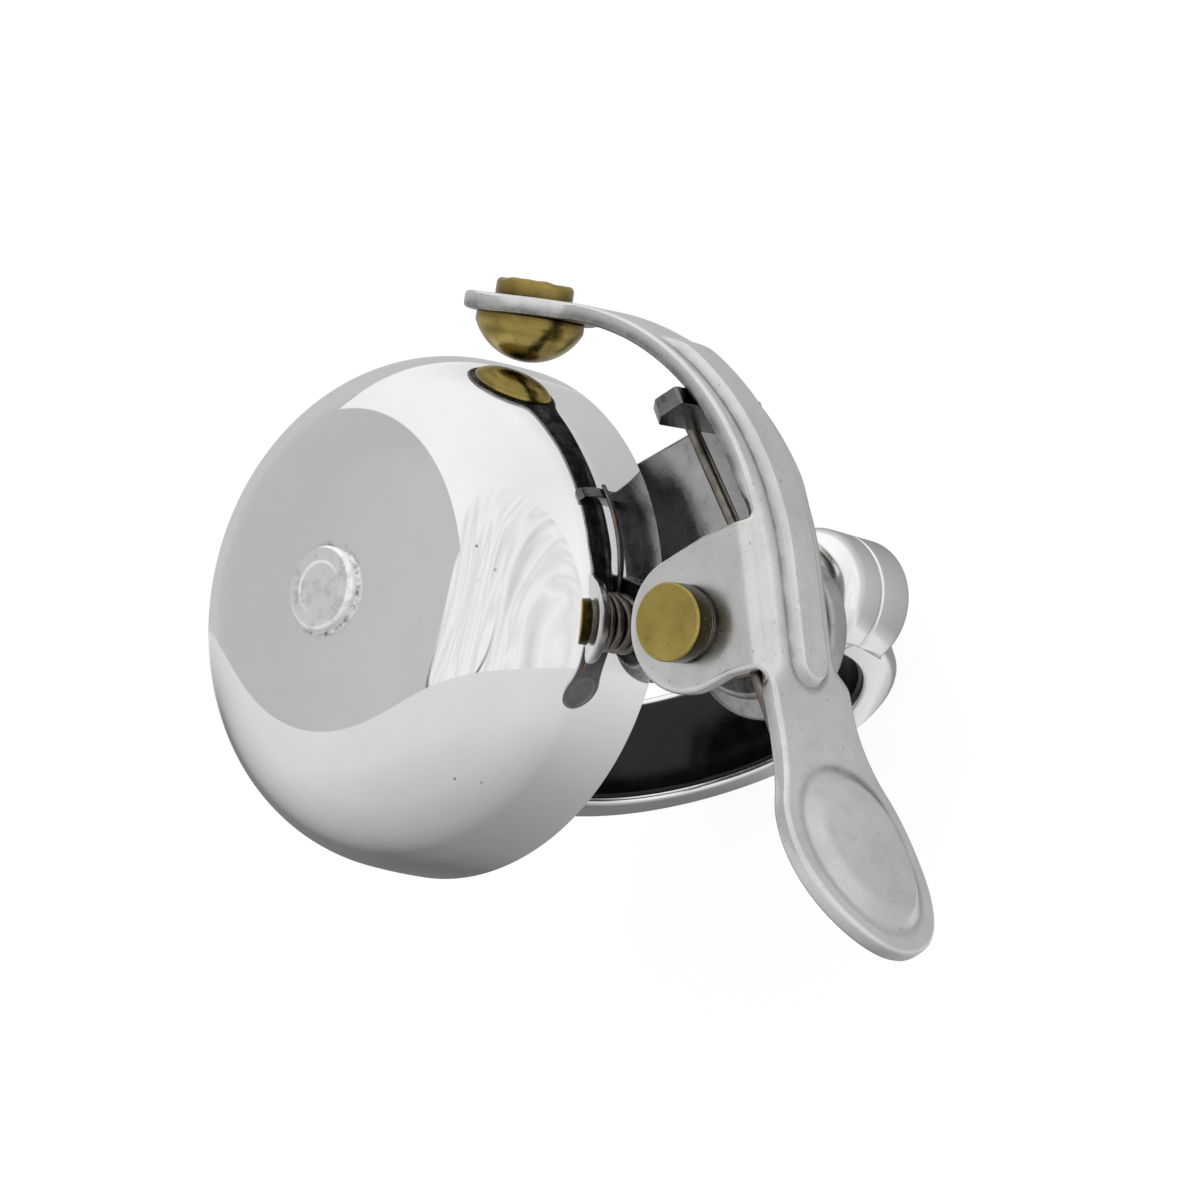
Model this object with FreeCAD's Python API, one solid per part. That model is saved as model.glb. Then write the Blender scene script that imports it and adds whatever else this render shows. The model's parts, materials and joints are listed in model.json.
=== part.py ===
"""Lever-strike handlebar bell: a plated dome on a cast bracket, a ring clamp for a round bar,
and a sprung thumb lever with a brass hammer. Millimetres.

Row frame: origin at the centre of the bar's bore, +X along the bar, +Z towards the dome.
Lever frame: origin on the pivot axis halfway between the ears, +Z along the pivot pin.
"""
import math
import os

import FreeCAD
import Part

V = FreeCAD.Vector

# ---- clearances -------------------------------------------------------------------------
RUNNING = 0.05          # radial play of a turning fit
SEAT = 0.02             # play of pieces that are clamped or pressed together
FREE = 0.3              # gap between pieces that only pass each other
THROUGH = 80.0          # length of a cut or outline that passes right through any piece

# ---- bar clamp --------------------------------------------------------------------------
BAR_R = 15.9            # 31.8 mm handlebar
LINER_WALL = 1.7
LINER_LENGTH = 9.2
LIP_R = 16.2               # the band's ends turn in over the liner to this radius
LIP_EDGE_R = 0.3
BAND_WALL = 1.95
BAND_LENGTH = 10.6
BAND_EDGE_R = 0.8
SPLIT_LEVEL = -2.0      # middle of the gap between the two halves of the lug
SPLIT_GAP = 0.3
LUG_R = 5.9             # the lug is round, seen from above
LUG_LINE = 17.0         # from the bar's axis to the lug's axis
LUG_BOTTOM = -6.5
LUG_TOP = 2.6
LUG_TOP_EDGE_R = 2.2
LUG_BOTTOM_EDGE_R = 0.9

# ---- clamp screw and its threaded insert ------------------------------------------------
CLAMP_SCREW_R = 1.25
CLAMP_HEAD_R = 2.15
CLAMP_HEAD_HEIGHT = 1.6
CLAMP_KEY_FLATS = 2.0
CLAMP_KEY_DEPTH = 1.1
CLAMP_HEAD_RECESS = 0.2     # the head's face lies this deep in the lug
CLAMP_SCREW_LINE = 19.95    # from the bar's axis to the screw's axis
SCREW_WASHER_R = 2.15
SCREW_WASHER_THICK = 0.35
INSERT_R = 1.75
INSERT_LENGTH = 2.6

# ---- dome -------------------------------------------------------------------------------
DOME_LINE = 0.85        # the dome's axis stands this far along the bar from the band's middle
RIM_LEVEL = 28.3
DOME_R = 22.25
DOME_HEIGHT = 16.8
DOME_WALL = 1.8
WALL_ARC_R = 60.0
SHOULDER_ARC_R = 12.0
CROWN_ARC_R = 110.0

# ---- centre stack -----------------------------------------------------------------------
RIVET_R = 2.0
RIVET_HEAD_R = 3.65
RIVET_HEAD_HEIGHT = 0.9
RIVET_HEAD_EDGE_R = 0.5
RIVET_SINK_R = 3.6
DOME_WASHER_R = 6.0
DOME_WASHER_THICK = 1.0
SLEEVE_R = 3.5
HUB_WASHER_R = 5.0
HUB_WASHER_THICK = 0.8
HUB_R = 7.2
HUB_TOP_BELOW_RIM = 2.1

# ---- bracket ----------------------------------------------------------------------------
SADDLE_HALF_WIDTH = 9.0
SADDLE_LENGTH = 9.0
PIN_HOLE_SPACING = 11.0
LOCATING_PIN_R = 1.0
LOCATING_PIN_LENGTH = 4.2
LOCATING_PIN_SINK = 1.2     # how far the pin reaches into the band's wall
ARM_THICK = 2.6
ARM_EDGE_R = 1.0
BOSS_R = 7.2
WEB_R = 4.7                 # the arm's half width at the boss
WEB_HUB_R = 5.2             # and at the hub
WEB_HUB_SHIFT = 1.2         # the web's end lies this far ahead of the hub's centre
STOP_THICK = 1.6
STOP_LINE = 16.5            # along the lever, from the pivot to the plate's near face
STOP_WIDTH = 3.5
STOP_RISE = 9.6            # from the arm's top face to the plate's free end
STOP_CORNER = 1.2

# ---- pivot ------------------------------------------------------------------------------
PIVOT_BACK = 12.9           # from the band's middle, along the bar
PIVOT_ASIDE = 25.9          # from the bar's axis, towards the rider
PIVOT_LEVEL = 29.25
PIVOT_TILT = 6.0            # degrees that the pin leans towards the thumb pad
PIN_R = 2.0
PIN_HEAD_R = 3.15
PIN_HEAD_HEIGHT = 1.9
PIN_HEAD_EDGE = 0.25
HEAD_WASHER_R = 2.9
HEAD_WASHER_THICK = 0.3
BOSS_WASHER_R = 4.6
BOSS_WASHER_THICK = 0.4
SPRING_SLEEVE_R = 2.8
CLIP_R = 3.4
CLIP_THICK = 0.6
CLIP_GROOVE_R = 1.5
CLIP_GAP_ANGLE = 70.0
PIN_TAIL = 1.1

# ---- lever, in the lever frame ----------------------------------------------------------
SHEET = 1.5
LEVER_HALF_WIDTH = 4.2
NECK_HALF_WIDTH = 2.9
WAIST_HALF_WIDTH = 4.9
WAIST_ROOT = 1.4            # from the ears' edge to where the waist has its full width
EAR_OUTER = 4.85            # outer face of each ear from the lever's middle
EAR_R = 5.6
HAMMER_BEARING = 43.74      # degrees round the dome's axis, from the lever's own direction
HAMMER_GAP = 0.49           # between the dome's wall and the hammer at rest
TAB_R = 5.8
ARM_CORNER_AHEAD = 19.7     # the arm's bend, given by the corner of its two straight runs
ARM_CORNER_OUT = 14.05
ARM_BEND_R = 26.9
THUMB_CORNER_BACK = 14.6    # the same for the bend above the thumb pad
THUMB_CORNER_OUT = 4.2
THUMB_BEND_R = 45.0
TIP_BACK = 30.7             # from the pivot to the thumb pad's tip
TIP_OUT = 5.9
PAD_CENTRE = -21.0
PAD_HALF_WIDTH = 8.05
PAD_SHIFT = 0.65             # the pad's middle lies this far towards the bar
PAD_FILLET_R = 12.0
RIB_HALF_WIDTH = 2.2
RIB_HEIGHT = 0.8
RIB_START = -8.3
RIB_END = 24.0
NECK_START = 26.0
PAD_RISE = 0.6              # the pad's middle is pressed out this far, inside a flat rim
PAD_MARGIN = 1.9

# ---- hammer -----------------------------------------------------------------------------
HAMMER_R = 4.6
HAMMER_SKIRT = 0.8
HAMMER_HEIGHT = 3.8
HAMMER_SHANK_R = 2.0
HAMMER_COLLAR_R = 3.3
HAMMER_COLLAR_HEIGHT = 1.45
HAMMER_COLLAR_EDGE_R = 0.4

# ---- torsion spring ---------------------------------------------------------------------
WIRE_R = 0.55
COIL_R = 3.5                # mean radius
COIL_TURNS = 4
LOWER_LEG_REACH = 13.0

# ---- values that follow from the sizes above --------------------------------------------
BAND_IN = BAR_R + LINER_WALL
BAND_OUT = BAND_IN + BAND_WALL
HUB_TOP = RIM_LEVEL - HUB_TOP_BELOW_RIM
CROWN_IN = RIM_LEVEL + DOME_HEIGHT - DOME_WALL
ARM_TOP = -(EAR_OUTER + BOSS_WASHER_THICK + 2 * RUNNING)
ARM_BOTTOM = ARM_TOP - ARM_THICK
EAR_INNER = EAR_OUTER - SHEET
PIVOT = V(-PIVOT_BACK, -PIVOT_ASIDE, PIVOT_LEVEL)
DOME_AHEAD = (DOME_LINE + PIVOT_BACK) / math.cos(math.radians(PIVOT_TILT))
HAMMER_REACH = DOME_R + HAMMER_GAP + HAMMER_HEIGHT + SHEET + SEAT
HAMMER_POINT = V(DOME_AHEAD + HAMMER_REACH * math.cos(math.radians(HAMMER_BEARING)),
                 PIVOT_ASIDE - HAMMER_REACH * math.sin(math.radians(HAMMER_BEARING)), 0)
ARM_CORNER = V(ARM_CORNER_AHEAD, -ARM_CORNER_OUT, 0)
THUMB_CORNER = V(-THUMB_CORNER_BACK, -THUMB_CORNER_OUT, 0)
LEVER_TIP = V(-TIP_BACK, -TIP_OUT, 0)
LEVER_PLACE = FreeCAD.Placement(PIVOT, FreeCAD.Rotation(V(0, 1, 0), -PIVOT_TILT))
TAB_ALONG = HAMMER_POINT.sub(ARM_CORNER).normalize()
TAB_OUTWARD = V(TAB_ALONG.y, -TAB_ALONG.x, 0)


def write(name, shape):
    """Write one named piece to its own file."""
    os.makedirs("parts", exist_ok=True)
    shape.exportStep("parts/" + name + ".step")


def cylinder(radius, low, high, x=0.0, y=0.0):
    """Upright cylinder between two levels."""
    return Part.makeCylinder(radius, high - low, V(x, y, low))


def ring(outer, inner, low, high, x=0.0, y=0.0):
    """Upright tube between two levels."""
    return cylinder(outer, low, high, x, y).cut(cylinder(inner, low - 1, high + 1, x, y))


def box(low, high):
    """Box between two corners."""
    size = high.sub(low)
    return Part.makeBox(size.x, size.y, size.z, low)


def hexagon(flats, low, high, x=0.0, y=0.0):
    """Upright hexagonal prism, given its width across flats."""
    corner = flats / math.sqrt(3)
    points = [V(x + corner * math.cos(math.radians(60 * i)),
                y + corner * math.sin(math.radians(60 * i)), low) for i in range(7)]
    return Part.Face(Part.makePolygon(points)).extrude(V(0, 0, high - low))


def single(shape):
    """The one solid of a boolean's result, with split faces merged."""
    return shape.removeSplitter().Solids[0]


# ---- paths ------------------------------------------------------------------------------
def cross_z(a, b):
    return a.x * b.y - a.y * b.x


def rounded_path(points, radii):
    """Edges of a path in XY: straight runs joined by tangent arcs at the inner points."""
    edges = []
    start = points[0]
    for before, corner, after, radius in zip(points, points[1:], points[2:], radii):
        into = corner.sub(before).normalize()
        out = after.sub(corner).normalize()
        half_turn = 0.5 * into.getAngle(out)
        reach = radius * math.tan(half_turn)
        first = corner.sub(V(into).multiply(reach))
        last = corner.add(V(out).multiply(reach))
        inward = V(out).sub(into).normalize()
        middle = corner.add(inward.multiply(radius / math.cos(half_turn) - radius))
        edges.append(Part.LineSegment(start, first).toShape())
        edges.append(Part.Arc(first, middle, last).toShape())
        start = last
    edges.append(Part.LineSegment(start, points[-1]).toShape())
    return edges


def shifted_path(points, radii, distance):
    """The same path moved to its left by a distance: new points and new radii."""
    directions = [b.sub(a).normalize() for a, b in zip(points, points[1:])]
    lefts = [V(-d.y, d.x, 0) for d in directions]
    moved = [points[0].add(V(lefts[0]).multiply(distance))]
    new_radii = []
    for i, corner in enumerate(points[1:-1]):
        turn = cross_z(directions[i], directions[i + 1])
        mitre = lefts[i].add(lefts[i + 1])
        mitre.multiply(distance / (1 + lefts[i].dot(lefts[i + 1])))
        moved.append(corner.add(mitre))
        new_radii.append(radii[i] - math.copysign(distance, turn))
    moved.append(points[-1].add(V(lefts[-1]).multiply(distance)))
    return moved, new_radii


def band_between(points, radii, near, far, low, high):
    """Solid between two shifts of a path, between two levels."""
    near_points, near_radii = shifted_path(points, radii, near)
    far_points, far_radii = shifted_path(points, radii, far)
    edges = rounded_path(near_points, near_radii) + rounded_path(far_points, far_radii)
    edges.append(Part.LineSegment(near_points[0], far_points[0]).toShape())
    edges.append(Part.LineSegment(near_points[-1], far_points[-1]).toShape())
    face = Part.Face(Part.Wire(Part.__sortEdges__(edges)))
    face.translate(V(0, 0, low))
    return face.extrude(V(0, 0, high - low))


# ---- dome -------------------------------------------------------------------------------
def dome_section(inset):
    """Half section of the dome, moved inwards by the inset: wall, shoulder and crown arcs."""
    wall_centre = V(DOME_R - WALL_ARC_R, 0, 0)
    crown_centre = V(0, 0, DOME_HEIGHT - CROWN_ARC_R)
    to_wall = WALL_ARC_R - SHOULDER_ARC_R
    to_crown = CROWN_ARC_R - SHOULDER_ARC_R
    span = crown_centre.sub(wall_centre)
    distance = span.Length
    along = (to_wall ** 2 - to_crown ** 2 + distance ** 2) / (2 * distance)
    aside = math.sqrt(to_wall ** 2 - along ** 2)
    unit = V(span).normalize()
    normal = V(-unit.z, 0, unit.x)
    if normal.x < 0:
        normal = normal.negative()
    shoulder_centre = wall_centre.add(V(unit).multiply(along)).add(normal.multiply(aside))

    def on_arc(centre, radius, angle):
        return centre.add(V(math.cos(angle), 0, math.sin(angle)).multiply(radius - inset))

    def angle_of(vector):
        return math.atan2(vector.z, vector.x)

    shoulder_low = angle_of(shoulder_centre.sub(wall_centre))
    shoulder_high = angle_of(shoulder_centre.sub(crown_centre))
    rim = on_arc(wall_centre, WALL_ARC_R, 0)
    wall_top = on_arc(wall_centre, WALL_ARC_R, shoulder_low)
    crown_edge = on_arc(crown_centre, CROWN_ARC_R, shoulder_high)
    crown_top = on_arc(crown_centre, CROWN_ARC_R, math.pi / 2)
    arcs = [Part.Arc(rim, on_arc(wall_centre, WALL_ARC_R, shoulder_low / 2), wall_top),
            Part.Arc(wall_top, on_arc(shoulder_centre, SHOULDER_ARC_R,
                                      (shoulder_low + shoulder_high) / 2), crown_edge),
            Part.Arc(crown_edge, on_arc(crown_centre, CROWN_ARC_R,
                                        (shoulder_high + math.pi / 2) / 2), crown_top)]
    return [arc.toShape() for arc in arcs], rim, crown_top


def bell_dome():
    outer, outer_rim, outer_top = dome_section(0)
    inner, inner_rim, inner_top = dome_section(DOME_WALL)
    ends = [Part.LineSegment(outer_rim, inner_rim).toShape(),
            Part.LineSegment(outer_top, inner_top).toShape()]
    face = Part.Face(Part.Wire(Part.__sortEdges__(outer + inner + ends)))
    shell = face.revolve(V(0, 0, 0), V(0, 0, 1), 360)
    shell.translate(V(DOME_LINE, 0, RIM_LEVEL))
    hole = cylinder(RIVET_R + SEAT, CROWN_IN - 1, RIM_LEVEL + DOME_HEIGHT + 1, DOME_LINE)
    return shell.cut(hole)


# ---- centre stack -----------------------------------------------------------------------
def centre_rivet():
    crown = RIM_LEVEL + DOME_HEIGHT
    head = cylinder(RIVET_HEAD_R, crown, crown + RIVET_HEAD_HEIGHT, DOME_LINE)
    head = head.makeFillet(RIVET_HEAD_EDGE_R, [head.Edges[0]])
    sink = RIVET_SINK_R - RIVET_R
    low = BAND_IN + 0.1
    foot = Part.makeCone(RIVET_SINK_R, RIVET_R, sink, V(DOME_LINE, 0, low))
    shank = cylinder(RIVET_R, low, crown, DOME_LINE)
    return single(shank.fuse([head, foot]))


def dome_washer():
    return ring(DOME_WASHER_R, RIVET_R + SEAT, CROWN_IN - DOME_WASHER_THICK - SEAT,
                CROWN_IN - 0.19, DOME_LINE)


def spacer_sleeve():
    low = HUB_TOP + HUB_WASHER_THICK
    high = CROWN_IN - DOME_WASHER_THICK - SEAT
    return ring(SLEEVE_R, RIVET_R + RUNNING, low, high, DOME_LINE)


def hub_washer():
    return ring(HUB_WASHER_R, RIVET_R + RUNNING, HUB_TOP, HUB_TOP + HUB_WASHER_THICK, DOME_LINE)


# ---- clamp ------------------------------------------------------------------------------
def along_bar(outer, inner, length):
    """Tube on the bar's axis, centred on the origin."""
    axis = V(1, 0, 0)
    start = V(-length / 2, 0, 0)
    tube = Part.makeCylinder(outer, length, start, axis)
    return tube.cut(Part.makeCylinder(inner, length, start, axis))


def screw_line(shape_maker, *sizes):
    """Make an upright shape on the clamp screw's axis."""
    return shape_maker(*sizes, 0, -CLAMP_SCREW_LINE)


def split_gap(length):
    """The gap that lets the clamp close, on the rider's side."""
    return box(V(-length, -LUG_LINE - LUG_R - 1, SPLIT_LEVEL - SPLIT_GAP / 2),
               V(length, -1, SPLIT_LEVEL + SPLIT_GAP / 2))


def clamp_band():
    band = along_bar(BAND_OUT, LIP_R, BAND_LENGTH)
    round_edges = [edge for edge in band.Edges if edge.BoundBox.XLength < 0.1]
    outer_edges = [edge for edge in round_edges if edge.BoundBox.ZMax > BAND_OUT - 0.1]
    band = band.makeFillet(BAND_EDGE_R, outer_edges)
    lip_edges = [edge for edge in band.Edges
                 if edge.BoundBox.XLength < 0.1 and edge.BoundBox.ZMax < LIP_R + 0.1]
    band = band.makeFillet(LIP_EDGE_R, lip_edges)
    lug = cylinder(LUG_R, LUG_BOTTOM, LUG_TOP, 0, -LUG_LINE)
    lug = lug.makeFillet(LUG_TOP_EDGE_R, [e for e in lug.Edges if e.BoundBox.ZMin > LUG_TOP - 0.1])
    lug = lug.makeFillet(LUG_BOTTOM_EDGE_R,
                         [e for e in lug.Edges if e.BoundBox.ZMax < LUG_BOTTOM + 0.1])
    lug = lug.cut(Part.makeCylinder(0.5 * (BAND_IN + BAND_OUT), THROUGH, V(-THROUGH / 2, 0, 0),
                                    V(1, 0, 0)))
    band = band.fuse(lug)
    head_seat = LUG_BOTTOM + CLAMP_HEAD_RECESS + CLAMP_HEAD_HEIGHT + SCREW_WASHER_THICK
    insert_top = SPLIT_LEVEL + SPLIT_GAP / 2 + INSERT_LENGTH
    groove = LINER_LENGTH + 2 * SEAT
    cuts = [split_gap(BAND_LENGTH),
            Part.makeCylinder(BAND_IN, groove, V(-groove / 2, 0, 0), V(1, 0, 0)),
            screw_line(cylinder, CLAMP_SCREW_R + FREE / 2, LUG_BOTTOM - 1, SPLIT_LEVEL),
            screw_line(cylinder, CLAMP_HEAD_R + FREE / 2, LUG_BOTTOM - 1, head_seat),
            screw_line(cylinder, INSERT_R + SEAT, SPLIT_LEVEL, insert_top),
            Part.makeCone(RIVET_SINK_R + SEAT, RIVET_R + SEAT, RIVET_SINK_R - RIVET_R,
                          V(DOME_LINE, 0, BAND_IN + 0.1)),
            cylinder(RIVET_SINK_R + SEAT, 0, BAND_IN + 0.1, DOME_LINE),
            cylinder(RIVET_R + SEAT, 0, BAND_OUT + 1, DOME_LINE)]
    for shape in cuts:
        band = band.cut(shape)
    for side in (-1, 1):
        band = band.cut(locating_pin(side, SEAT))
    return single(band)


def bar_liner():
    liner = along_bar(BAND_IN - SEAT, BAR_R, LINER_LENGTH)
    return liner.cut(split_gap(LINER_LENGTH))


def locating_pin(side, play):
    """One of the two pins between bracket and band; play widens it into its own hole."""
    y = side * PIN_HOLE_SPACING / 2
    low = math.sqrt(BAND_OUT ** 2 - y ** 2) - LOCATING_PIN_SINK
    return cylinder(LOCATING_PIN_R + play, low, low + LOCATING_PIN_LENGTH, DOME_LINE, y)


def locating_pins():
    return Part.makeCompound([locating_pin(side, 0) for side in (-1, 1)])


def clamp_screw():
    head_low = LUG_BOTTOM + CLAMP_HEAD_RECESS
    head_high = head_low + CLAMP_HEAD_HEIGHT
    head = screw_line(cylinder, CLAMP_HEAD_R, head_low, head_high)
    end = SPLIT_LEVEL + SPLIT_GAP / 2 + INSERT_LENGTH - FREE
    shank = screw_line(cylinder, CLAMP_SCREW_R, head_high, end)
    screw = single(head.fuse(shank))
    return screw.cut(screw_line(hexagon, CLAMP_KEY_FLATS, head_low - 1, head_low + CLAMP_KEY_DEPTH))


def screw_washer():
    low = LUG_BOTTOM + CLAMP_HEAD_RECESS + CLAMP_HEAD_HEIGHT
    return screw_line(ring, SCREW_WASHER_R, CLAMP_SCREW_R + RUNNING, low + SEAT,
                      low + SCREW_WASHER_THICK)


def thread_insert():
    low = SPLIT_LEVEL + SPLIT_GAP / 2
    return screw_line(ring, INSERT_R, CLAMP_SCREW_R + RUNNING, low, low + INSERT_LENGTH)


# ---- bracket ----------------------------------------------------------------------------
def hull_face(circles):
    """Outline drawn tight round circles given as (centre, radius), in order anticlockwise."""
    edges = []
    tangents = []
    for (c1, r1), (c2, r2) in zip(circles, circles[1:] + circles[:1]):
        span = c2.sub(c1)
        base = math.atan2(span.y, span.x)
        angle = base - math.acos((r1 - r2) / span.Length)
        out = V(math.cos(angle), math.sin(angle), 0)
        first = c1.add(V(out).multiply(r1))
        last = c2.add(V(out).multiply(r2))
        edges.append(Part.LineSegment(first, last).toShape())
        tangents.append((out, first, last))
    for i, (centre, radius) in enumerate(circles):
        before = tangents[i - 1]
        after = tangents[i]
        middle = centre.add(before[0].add(after[0]).normalize().multiply(radius))
        edges.append(Part.Arc(before[2], middle, after[1]).toShape())
    return Part.Face(Part.Wire(Part.__sortEdges__(edges)))


def sheet_level(inset, x):
    """Level of the lever's sheet at one place along it, at a depth below its outer face."""
    points, radii = lever_path()
    moved, moved_radii = shifted_path(points, radii, -inset)
    path = Part.Wire(rounded_path(moved, moved_radii))
    upright = Part.LineSegment(V(x, -THROUGH, 0), V(x, THROUGH, 0)).toShape()
    return path.distToShape(upright)[1][0][0].y


def stop_outer_edge():
    """Level at which the lever's arm rests on the stop plate."""
    return max(sheet_level(SHEET, STOP_LINE), sheet_level(SHEET, STOP_LINE + STOP_THICK)) + SEAT


def base_bracket():
    # saddle and hub, upright under the dome's axis
    saddle = box(V(DOME_LINE - SADDLE_LENGTH / 2, -SADDLE_HALF_WIDTH, 0),
                 V(DOME_LINE + SADDLE_LENGTH / 2, SADDLE_HALF_WIDTH, HUB_TOP - ARM_THICK / 2))
    hub = cylinder(HUB_R, 0, HUB_TOP, DOME_LINE)
    # arm, boss and stop plate, square to the pivot pin
    stop_y = stop_outer_edge()
    to_hub = LEVER_PLACE.inverse().multVec(V(DOME_LINE, 0, HUB_TOP))
    corner_r = STOP_THICK
    stop_corner = V(STOP_LINE + STOP_THICK - corner_r, stop_y + corner_r, 0)
    web_end = V(to_hub.x + WEB_HUB_SHIFT, to_hub.y, 0)
    outline = hull_face([(V(0, 0, 0), WEB_R), (stop_corner, corner_r), (web_end, WEB_HUB_R)])
    outline.translate(V(0, 0, ARM_BOTTOM))
    arm = outline.extrude(V(0, 0, ARM_THICK))
    arm = single(arm.fuse(cylinder(BOSS_R, ARM_BOTTOM, ARM_TOP)))
    arm = arm.makeFillet(ARM_EDGE_R, [edge for edge in arm.Edges
                                      if edge.BoundBox.ZMax < ARM_BOTTOM + 0.1])
    plate = box(V(STOP_LINE, stop_y, ARM_BOTTOM + 0.5),
                V(STOP_LINE + STOP_THICK, stop_y + STOP_WIDTH, ARM_TOP + STOP_RISE))
    plate = plate.makeChamfer(STOP_CORNER, [edge for edge in plate.Edges
                                            if edge.BoundBox.XLength > STOP_THICK / 2
                                            and edge.BoundBox.ZMin > ARM_TOP + STOP_RISE / 2
                                            and edge.BoundBox.YMin > stop_y + STOP_WIDTH / 2])
    arm = arm.fuse(plate)
    arm = arm.cut(cylinder(PIN_R + SEAT, ARM_BOTTOM - 1, ARM_TOP + 1))
    arm.Placement = LEVER_PLACE
    bracket = saddle.fuse([hub, arm])
    bracket = bracket.cut(Part.makeCylinder(BAND_OUT + SEAT, THROUGH, V(-THROUGH / 2, 0, 0),
                                            V(1, 0, 0)))
    bracket = bracket.cut(cylinder(RIVET_R + SEAT, 0, HUB_TOP + 1, DOME_LINE))
    for side in (-1, 1):
        bracket = bracket.cut(locating_pin(side, SEAT))
    return single(bracket)


# ---- lever ------------------------------------------------------------------------------
def lever_path():
    """Outer face of the lever from the hammer tab's end to the thumb pad's tip."""
    tab_end = HAMMER_POINT.add(V(TAB_ALONG).multiply(TAB_R))
    return [tab_end, ARM_CORNER, THUMB_CORNER, LEVER_TIP], [ARM_BEND_R, THUMB_BEND_R]


def lever_region(inset):
    """Everything on the bar's side of the lever's outer face, moved in by the inset."""
    points, radii = lever_path()
    moved, moved_radii = shifted_path(points, radii, -inset)
    deep = V(0, THROUGH / 2, 0)
    edges = rounded_path(moved, moved_radii)
    corners = [moved[-1], moved[-1].add(deep), moved[0].add(deep), moved[0]]
    edges += [Part.LineSegment(a, b).toShape() for a, b in zip(corners, corners[1:])]
    face = Part.Face(Part.Wire(Part.__sortEdges__(edges)))
    face.translate(V(0, 0, -2 * EAR_OUTER))
    return face.extrude(V(0, 0, 4 * EAR_OUTER))


def pad_outline(shrink):
    """Half-width outline of the thumb pad and waist, seen along the lever's thickness."""
    width = PAD_HALF_WIDTH - shrink
    long_half = PAD_CENTRE - LEVER_TIP.x - shrink
    tip = Part.Ellipse(V(0, 0, 0), max(width, long_half) + 1e-4, min(width, long_half))
    turn = 0 if long_half >= width else 90
    face = Part.Face(Part.Wire(tip.toShape()))
    face.rotate(V(0, 0, 0), V(0, 0, 1), turn)
    face.translate(V(PAD_CENTRE, 0, 0))
    keep_tip = Part.makePlane(THROUGH, THROUGH, V(PAD_CENTRE - THROUGH, -THROUGH / 2, 0))
    tip_half = face.common(keep_tip)
    round_half = Part.Face(Part.Wire(Part.Circle(V(PAD_CENTRE, 0, 0), V(0, 0, 1), width).toShape()))
    pad = tip_half.fuse(round_half)
    pad.translate(V(0, -PAD_SHIFT, 0))
    return pad


def waist_outline():
    """The pad's sides running into the waist by a concave arc, and the arm up to the neck."""
    edges = []
    for side in (1, -1):
        waist = WAIST_HALF_WIDTH
        if side < 0:
            waist += PAD_SHIFT
        high = waist + PAD_FILLET_R
        rise = high + side * PAD_SHIFT
        reach = PAD_HALF_WIDTH + PAD_FILLET_R
        back = math.sqrt(reach ** 2 - rise ** 2)
        share = PAD_HALF_WIDTH / reach
        touch = V(PAD_CENTRE + back * share, rise * share - side * PAD_SHIFT, 0)
        foot = V(PAD_CENTRE + back, waist, 0)
        mid_angle = 0.5 * (math.atan2(touch.y - high, touch.x - foot.x) - math.pi / 2)
        middle = V(foot.x + PAD_FILLET_R * math.cos(mid_angle),
                   high + PAD_FILLET_R * math.sin(mid_angle), 0)
        points = [touch, middle, foot, V(-EAR_R - WAIST_ROOT, waist, 0),
                  V(-EAR_R, EAR_OUTER, 0), V(EAR_R, LEVER_HALF_WIDTH, 0),
                  V(NECK_START, NECK_HALF_WIDTH, 0),
                  V(HAMMER_POINT.x - TAB_R / 6, NECK_HALF_WIDTH, 0)]
        flipped = [V(p.x, side * p.y, 0) for p in points]
        edges.append(Part.LineSegment(V(PAD_CENTRE, -PAD_SHIFT, 0), flipped[0]).toShape())
        edges.append(Part.Arc(flipped[0], flipped[1], flipped[2]).toShape())
        edges += [Part.LineSegment(a, b).toShape() for a, b in zip(flipped[2:], flipped[3:])]
    neck_end = points[-1]
    edges.append(Part.LineSegment(neck_end, V(neck_end.x, -neck_end.y, 0)).toShape())
    return Part.Face(Part.Wire(Part.__sortEdges__(edges)))


def through_thickness(face):
    """Turn an outline drawn in XY (second axis = across the lever) into a prism along Y."""
    prism = face.extrude(V(0, 0, THROUGH))
    prism.rotate(V(0, 0, 0), V(1, 0, 0), 90)
    prism.translate(V(0, THROUGH / 2, 0))
    return prism


def slot_outline(start, end, half_width):
    """Long slot with round ends."""
    a, b = V(start + half_width, half_width, 0), V(end - half_width, half_width, 0)
    c, d = V(b.x, -half_width, 0), V(a.x, -half_width, 0)
    edges = [Part.LineSegment(a, b).toShape(), Part.Arc(b, V(end, 0, 0), c).toShape(),
             Part.LineSegment(c, d).toShape(), Part.Arc(d, V(start, 0, 0), a).toShape()]
    return Part.Face(Part.Wire(edges))


def lever_layer(outline, near, far):
    """The part of an outline between two depths, counted outwards from the outer face."""
    points, radii = lever_path()
    width = PAD_HALF_WIDTH + PAD_SHIFT + 1
    layer = band_between(points, radii, near, far, -width, width)
    return layer.common(through_thickness(outline))


def ear(side):
    """One folded ear, between its inner and outer face."""
    low, high = sorted((side * EAR_INNER, side * EAR_OUTER))
    deep = ARM_CORNER.y
    block = box(V(-EAR_R, deep, low), V(EAR_R, 0, high))
    return cylinder(EAR_R, low, high).fuse(block).common(lever_region(0))


def hammer_frame(shape):
    """Put a shape drawn on +Z (outwards) with its base on the tab's outer face."""
    shape.rotate(V(0, 0, 0), V(0, 1, 0), 90)
    shape.rotate(V(0, 0, 0), V(0, 0, 1), math.degrees(math.atan2(TAB_OUTWARD.y, TAB_OUTWARD.x)))
    shape.translate(HAMMER_POINT)
    return shape


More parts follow.
